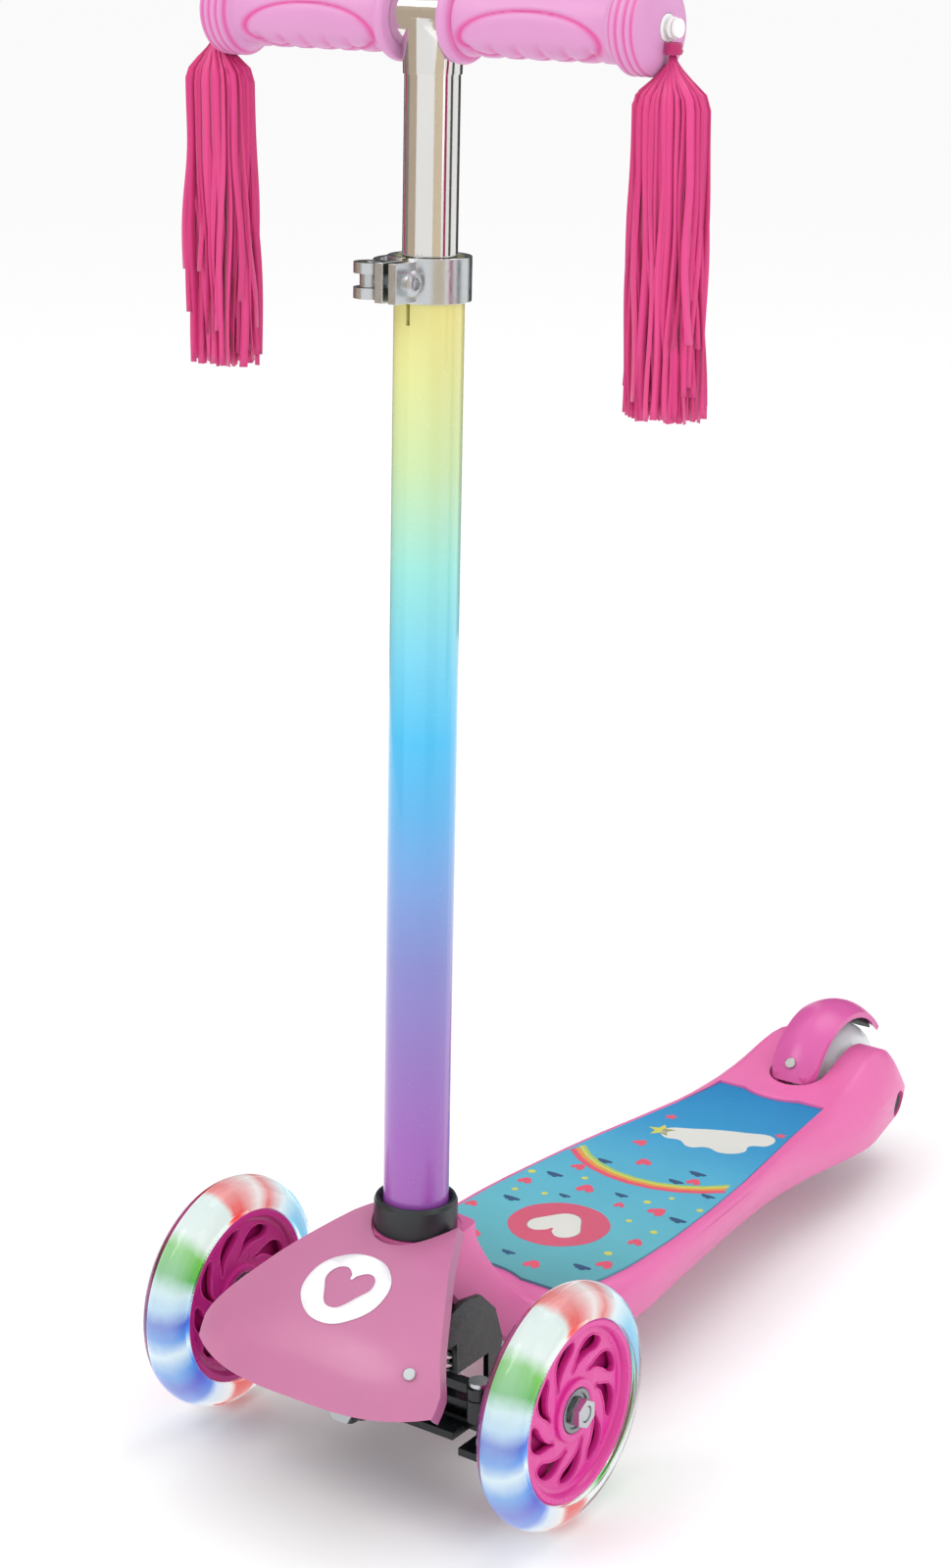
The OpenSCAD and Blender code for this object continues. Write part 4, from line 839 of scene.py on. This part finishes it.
def addGrip(side):
    node = "grip_" + side
    low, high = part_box(node)
    sign = 1 if side == "left" else -1
    axis = (low + high) / 2
    x0, x1 = sorted((abs(low.x), abs(high.x)))
    g = gripShape
    count = 150  # rings of points along the grip
    profile = [(x0 + (x1 - x0) * i / count, gripRadius(x0 + (x1 - x0) * i / count, x0, x1))
               for i in range(count + 1)]
    profile += [(x1, 0.0062), (x1 - 0.0056, 0.0060), (x1 - 0.0058, g["bore"]), (x0, g["bore"])]
    bm = bmesh.new()
    spinProfile(bm, profile, 128, Matrix.Identity(4))
    layer = bm.verts.layers.float.new("groove")
    centreX = (x0 + 0.006 + x1 - 0.022) / 2
    for v in bm.verts:
        x, y, z = v.co
        r = math.hypot(y, z)
        if r < g["barrel"] - 0.003 or x > x1 - 0.002:
            continue
        turn = math.atan2(z, y)  # 0 faces the rear, a half turn faces forward
        amount = ringGroove(x, x1)
        move = -g["ringDepth"] * amount
        if x0 + 0.0055 < x < x1 - 0.021:
            line, inside = padGroove(x, turn, centreX)
            amount = max(amount, line)
            move -= g["grooveDepth"] * line
            if inside < 1:
                move += g["padSwell"] * ease((1 - inside) / 0.3)
            under = ease((-math.sin(turn) - 0.45) / 0.4)  # finger scallops underneath
            wave = 0.5 - 0.5 * math.cos(math.tau * (x - x0 - 0.006) / g["pitch"])
            move -= g["scallop"] * under * wave ** 3
            amount = max(amount, 0.6 * under * wave ** 6)
        if x < x0 + 0.0068:
            amount = max(amount, 0.75 * math.exp(-((x - x0 - 0.0064) / 0.0009) ** 2))
        v[layer] = min(1.0, amount)
        v.co = Vector((x, y * (r + move) / r, z * (r + move) / r))
    place = Matrix.Translation((0, axis.y, axis.z)) @ Matrix.Diagonal((sign, 1, 1, 1))
    bmesh.ops.transform(bm, matrix=place, verts=bm.verts)
    bmesh.ops.recalc_face_normals(bm, faces=bm.faces)
    grip = pieceFrom(bm, "grip_%s_rubber" % side)
    finishPiece(grip, finishes["grip"], "handlebar", (node,), 60)


for side in ("left", "right"):
    addGrip(side)
    softCopy("bar_plug_" + side, "bar_plug_%s_soft" % side, finishes["plug"], "handlebar", 0.0004)
print("grips ready")


# --- streamers: bundles of ribbon on a tie ---

streamer = {"ribbons": 190, "width": 0.0036, "thick": 0.0001, "rows": 24, "length": 0.156, "shorter": 0.3,
            "sway": 0.004, "yaw": 0.6, "twist": 0.9, "tieX": 0.0028, "tieDrop": 0.008}
goldenAngle = 2.39996


def ribbonPath(t, head, spot, length, sway, bottom):
    # from the tie, out past the grip's flange and straight down under its own weight
    drop = length * t
    open_ = ease((drop + 0.001) / 0.024)
    past = ease((drop - 0.005) / 0.018)
    x = head.x + (spot[0] * (0.35 * open_ + 0.65 * past) + sway[0] * t * t)
    y = head.y + spot[1] * open_ + sway[1] * t * t
    wave = 0.0011 * math.sin(sway[2] + 7.5 * t) * ease((t - 0.2) / 0.5)
    z = max(head.z - drop, bottom)
    return Vector((x + wave, y + wave * 0.7, z))


def addStreamer(side):
    node = "streamer_" + side
    low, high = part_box(node)
    sign = 1 if side == "left" else -1
    axis = middle("grip_" + side)
    s = streamer
    headX = sign * (abs(axis.x) + halfWidthOf("grip_" + side) + s["tieX"])
    head = Vector((headX, axis.y, axis.z - s["tieDrop"]))
    halfX = (high.x - low.x) / 2 - s["width"] / 2 - 0.0005
    halfY = (high.y - low.y) / 2 - 0.001
    centreX = (low.x + high.x) / 2
    bm = bmesh.new()
    layer = bm.verts.layers.float.new("toneAndShade")
    for i in range(s["ribbons"]):
        a = i * goldenAngle
        spread = math.sqrt((i + 0.5) / s["ribbons"])
        spot = (centreX - headX + halfX * spread * math.cos(a), halfY * spread * math.sin(a))
        length = s["length"] * (1 - s["shorter"] * rng.random() ** 3)
        sway = (rng.uniform(-s["sway"], s["sway"]), rng.uniform(-s["sway"], s["sway"]),
                rng.uniform(0, math.tau))
        yaw = 0.45 + rng.uniform(-s["yaw"], s["yaw"])
        twist = rng.uniform(-s["twist"], s["twist"])
        width = s["width"] * rng.uniform(0.6, 1.15)
        shade = rng.random()
        made = bmesh.ops.create_grid(bm, x_segments=2, y_segments=s["rows"], size=0.5)["verts"]
        for v in made:
            across, t = v.co.x, v.co.y + 0.5
            centre = ribbonPath(t, head, spot, length, sway, low.z + 0.0005)
            turn = yaw + twist * t
            half = width * (0.35 + 0.65 * ease(t / 0.16))
            v.co = centre + Vector((math.cos(turn), math.sin(turn), 0)) * across * half
            # each ribbon's own random tone, plus painted shade that darkens every ribbon near the tie
            v[layer] = min(1.0, max(0.0, shade * 0.45 + 0.5 * ease((t + 0.02) / 0.16)))
    for v in bm.verts:  # held inside the bundle's space
        v.co.x = min(max(v.co.x, low.x + 0.0003), high.x - 0.0003)
        v.co.y = min(max(v.co.y, low.y - 0.001), high.y + 0.001)
    bundle = pieceFrom(bm, "streamer_%s_ribbons" % side)
    film = bundle.modifiers.new("film", "SOLIDIFY")
    film.thickness = s["thick"]
    film.offset = 0.0
    finishPiece(bundle, finishes["ribbon"], node, (node,), 50)

    bm = bmesh.new()  # the white loop through the plug's pin and the wrapped knot below it
    spinProfile(bm, [(-0.0006, 0.0046), (0.0006, 0.0046), (0.0006, 0.0034), (-0.0006, 0.0034)], 32,
                Matrix.Translation((headX, axis.y, axis.z)))
    loop = pieceFrom(bm, "streamer_%s_loop" % side)
    finishPiece(loop, finishes["plug"], node, (), 50)
    bm = bmesh.new()
    knot = [(0.0, 0.0034), (0.0012, 0.0040), (0.0024, 0.0038), (0.0036, 0.0042), (0.0050, 0.0036),
            (0.0050, 0.0022), (0.0, 0.0022)]
    down = Matrix.Translation(head + Vector((0, 0, 0.0022))) @ Matrix.Rotation(math.pi / 2, 4, "Y")
    spinProfile(bm, knot, 28, down)
    wrap = pieceFrom(bm, "streamer_%s_knot" % side)
    finishPiece(wrap, finishes["ribbon"], node, (), 50)


for side in ("left", "right"):
    addStreamer(side)
print("streamers ready")


# --- weld beads and the clamp's fastener ---

weld = {"ripple": 0.00012, "grain": 900}


def addWeld():
    bar = middle("cross_tube")
    low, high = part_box("tee_lug")
    bm = bmesh.new()
    for x in (low.x, high.x):
        bead = [(-0.0009, 0.0112), (-0.0006, 0.0121), (0.0, 0.0125), (0.0006, 0.0121), (0.0009, 0.0112)]
        spinProfile(bm, bead, 72, Matrix.Translation((x, bar.y, bar.z)))
    for v in bm.verts:
        ripple = noise.noise(v.co * weld["grain"]) * weld["ripple"]
        away = Vector((0, v.co.y - bar.y, v.co.z - bar.z)).normalized()
        v.co += away * ripple
    finishPiece(pieceFrom(bm, "handlebar_weld"), finishes["chrome"], "handlebar", (), 60)


def addBoltHead():
    # a button head with a round socket, on the clamp's ear
    centre = middle("clamp_bolt")
    place = Matrix.Translation((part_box("clamp_bolt")[1].x, centre.y, centre.z))
    bm = bmesh.new()
    spinProfile(bm, [(-0.0012, 0.0059), (0.0, 0.0058), (0.0009, 0.0050), (0.0014, 0.0040), (0.0016, 0.0030),
                     (0.0012, 0.0026), (-0.0012, 0.0026)], 40, place)
    finishPiece(pieceFrom(bm, "clamp_bolt_head"), finishes["zinc"], "deck", (), 35)


addWeld()
addBoltHead()


# --- stage: floor, lights and camera ---

stageLook = {
    "floor": "FAFAFA", "world": 1.0, "key": 13.0, "fill": 5.0, "top": 8.0,
    "cards": [(-134, -96, "6E6660"), (-96, -58, "9A8C7C"), (6, 40, "B0A28C"), (76, 90, "3C3C3C"),
              (132, 178, "30302F"), (-178, -136, "2C2C2C")],
    "cardReach": 1.35, "cardHeights": (0.0, 0.7, 1.5), "cardZero": 57.5, "cardGlow": 0.5,
}


def addFloor():
    bm = bmesh.new()
    bmesh.ops.create_grid(bm, x_segments=2, y_segments=2, size=14)
    floor = pieceFrom(bm, "floor")
    floor.data.transform(Matrix.Translation((0, 0, -0.0004)))
    material = surface("paleFloor", stageLook["floor"], 0.9, drift=0.01, spread=0.02, bump=0.0, scuffs=0.0,
                       Specular_IOR_Level=0.0)
    floor.data.materials.append(material)


def addCard(name, start, end, color):
    # a tall curved card that only shiny surfaces see; angles are turned from the front-left corner
    bm = bmesh.new()
    post = [bm.verts.new((stageLook["cardReach"], 0, z)) for z in stageLook["cardHeights"]]
    edges = [bm.edges.new(pair) for pair in zip(post, post[1:])]
    first = Matrix.Rotation(math.radians(start - stageLook["cardZero"]), 3, "Z")
    bmesh.ops.rotate(bm, verts=post, cent=(0, 0, 0), matrix=first)
    bmesh.ops.spin(bm, geom=post + edges, cent=(0, 0, 0), axis=(0, 0, 1), dvec=(0, 0, 0),
                   angle=math.radians(end - start), steps=12, use_merge=False)
    card = pieceFrom(bm, name)
    material = surface(name, color, 0.9, drift=0.02, spread=0.02, bump=0.0, scuffs=0.0)
    shader = material.node_tree.nodes["Principled BSDF"]
    shader.inputs["Emission Color"].default_value = srgb(color)
    shader.inputs["Emission Strength"].default_value = stageLook["cardGlow"]
    card.data.materials.append(material)
    card.visible_camera = card.visible_diffuse = card.visible_shadow = card.visible_transmission = False


def addLight(name, place, aim, size, power, color="FFFFFF"):
    data = bpy.data.lights.new(name, "AREA")
    data.shape = "DISK"
    data.size = size
    data.energy = power
    data.color = srgb(color)[:3]
    light = bpy.data.objects.new(name, data)
    scene.collection.objects.link(light)
    light.location = place
    light.rotation_euler = (Vector(aim) - Vector(place)).to_track_quat("-Z", "Y").to_euler()


def addStage():
    addFloor()
    world = bpy.data.worlds.new("studio")
    scene.world = world
    world.use_nodes = True
    sky = world.node_tree.nodes["Background"]
    sky.inputs["Color"].default_value = (1.0, 1.0, 1.0, 1.0)
    sky.inputs["Strength"].default_value = stageLook["world"]
    for number, (start, end, color) in enumerate(stageLook["cards"]):
        addCard("card_%d" % number, start, end, color)
    addLight("key", (-0.9, -1.5, 2.1), (0, -0.05, 0.3), 1.3, stageLook["key"], "FFFDF8")
    addLight("fill", (1.9, -0.7, 1.1), (0, 0, 0.3), 1.6, stageLook["fill"], "F6F8FF")
    addLight("top", (0.2, 0.9, 2.3), (0, 0, 0.2), 1.5, stageLook["top"])


shot = {"place": (0.80154, -1.25921, 0.77084), "down": 17.25, "turn": 35.49, "lens": 69.36,
        "shift": (0.0025, -0.0157)}


def addCamera():
    data = bpy.data.cameras.new("camera")
    camera = bpy.data.objects.new("camera", data)
    scene.collection.objects.link(camera)
    camera.location = shot["place"]
    camera.rotation_euler = (math.radians(90 - shot["down"]), 0, math.radians(shot["turn"]))
    data.sensor_width = 36
    data.lens = shot["lens"]
    data.shift_x, data.shift_y = shot["shift"]
    data.clip_end = 60
    scene.camera = camera
    scene.view_settings.view_transform = "Standard"


addStage()
addCamera()

print("scene ready")
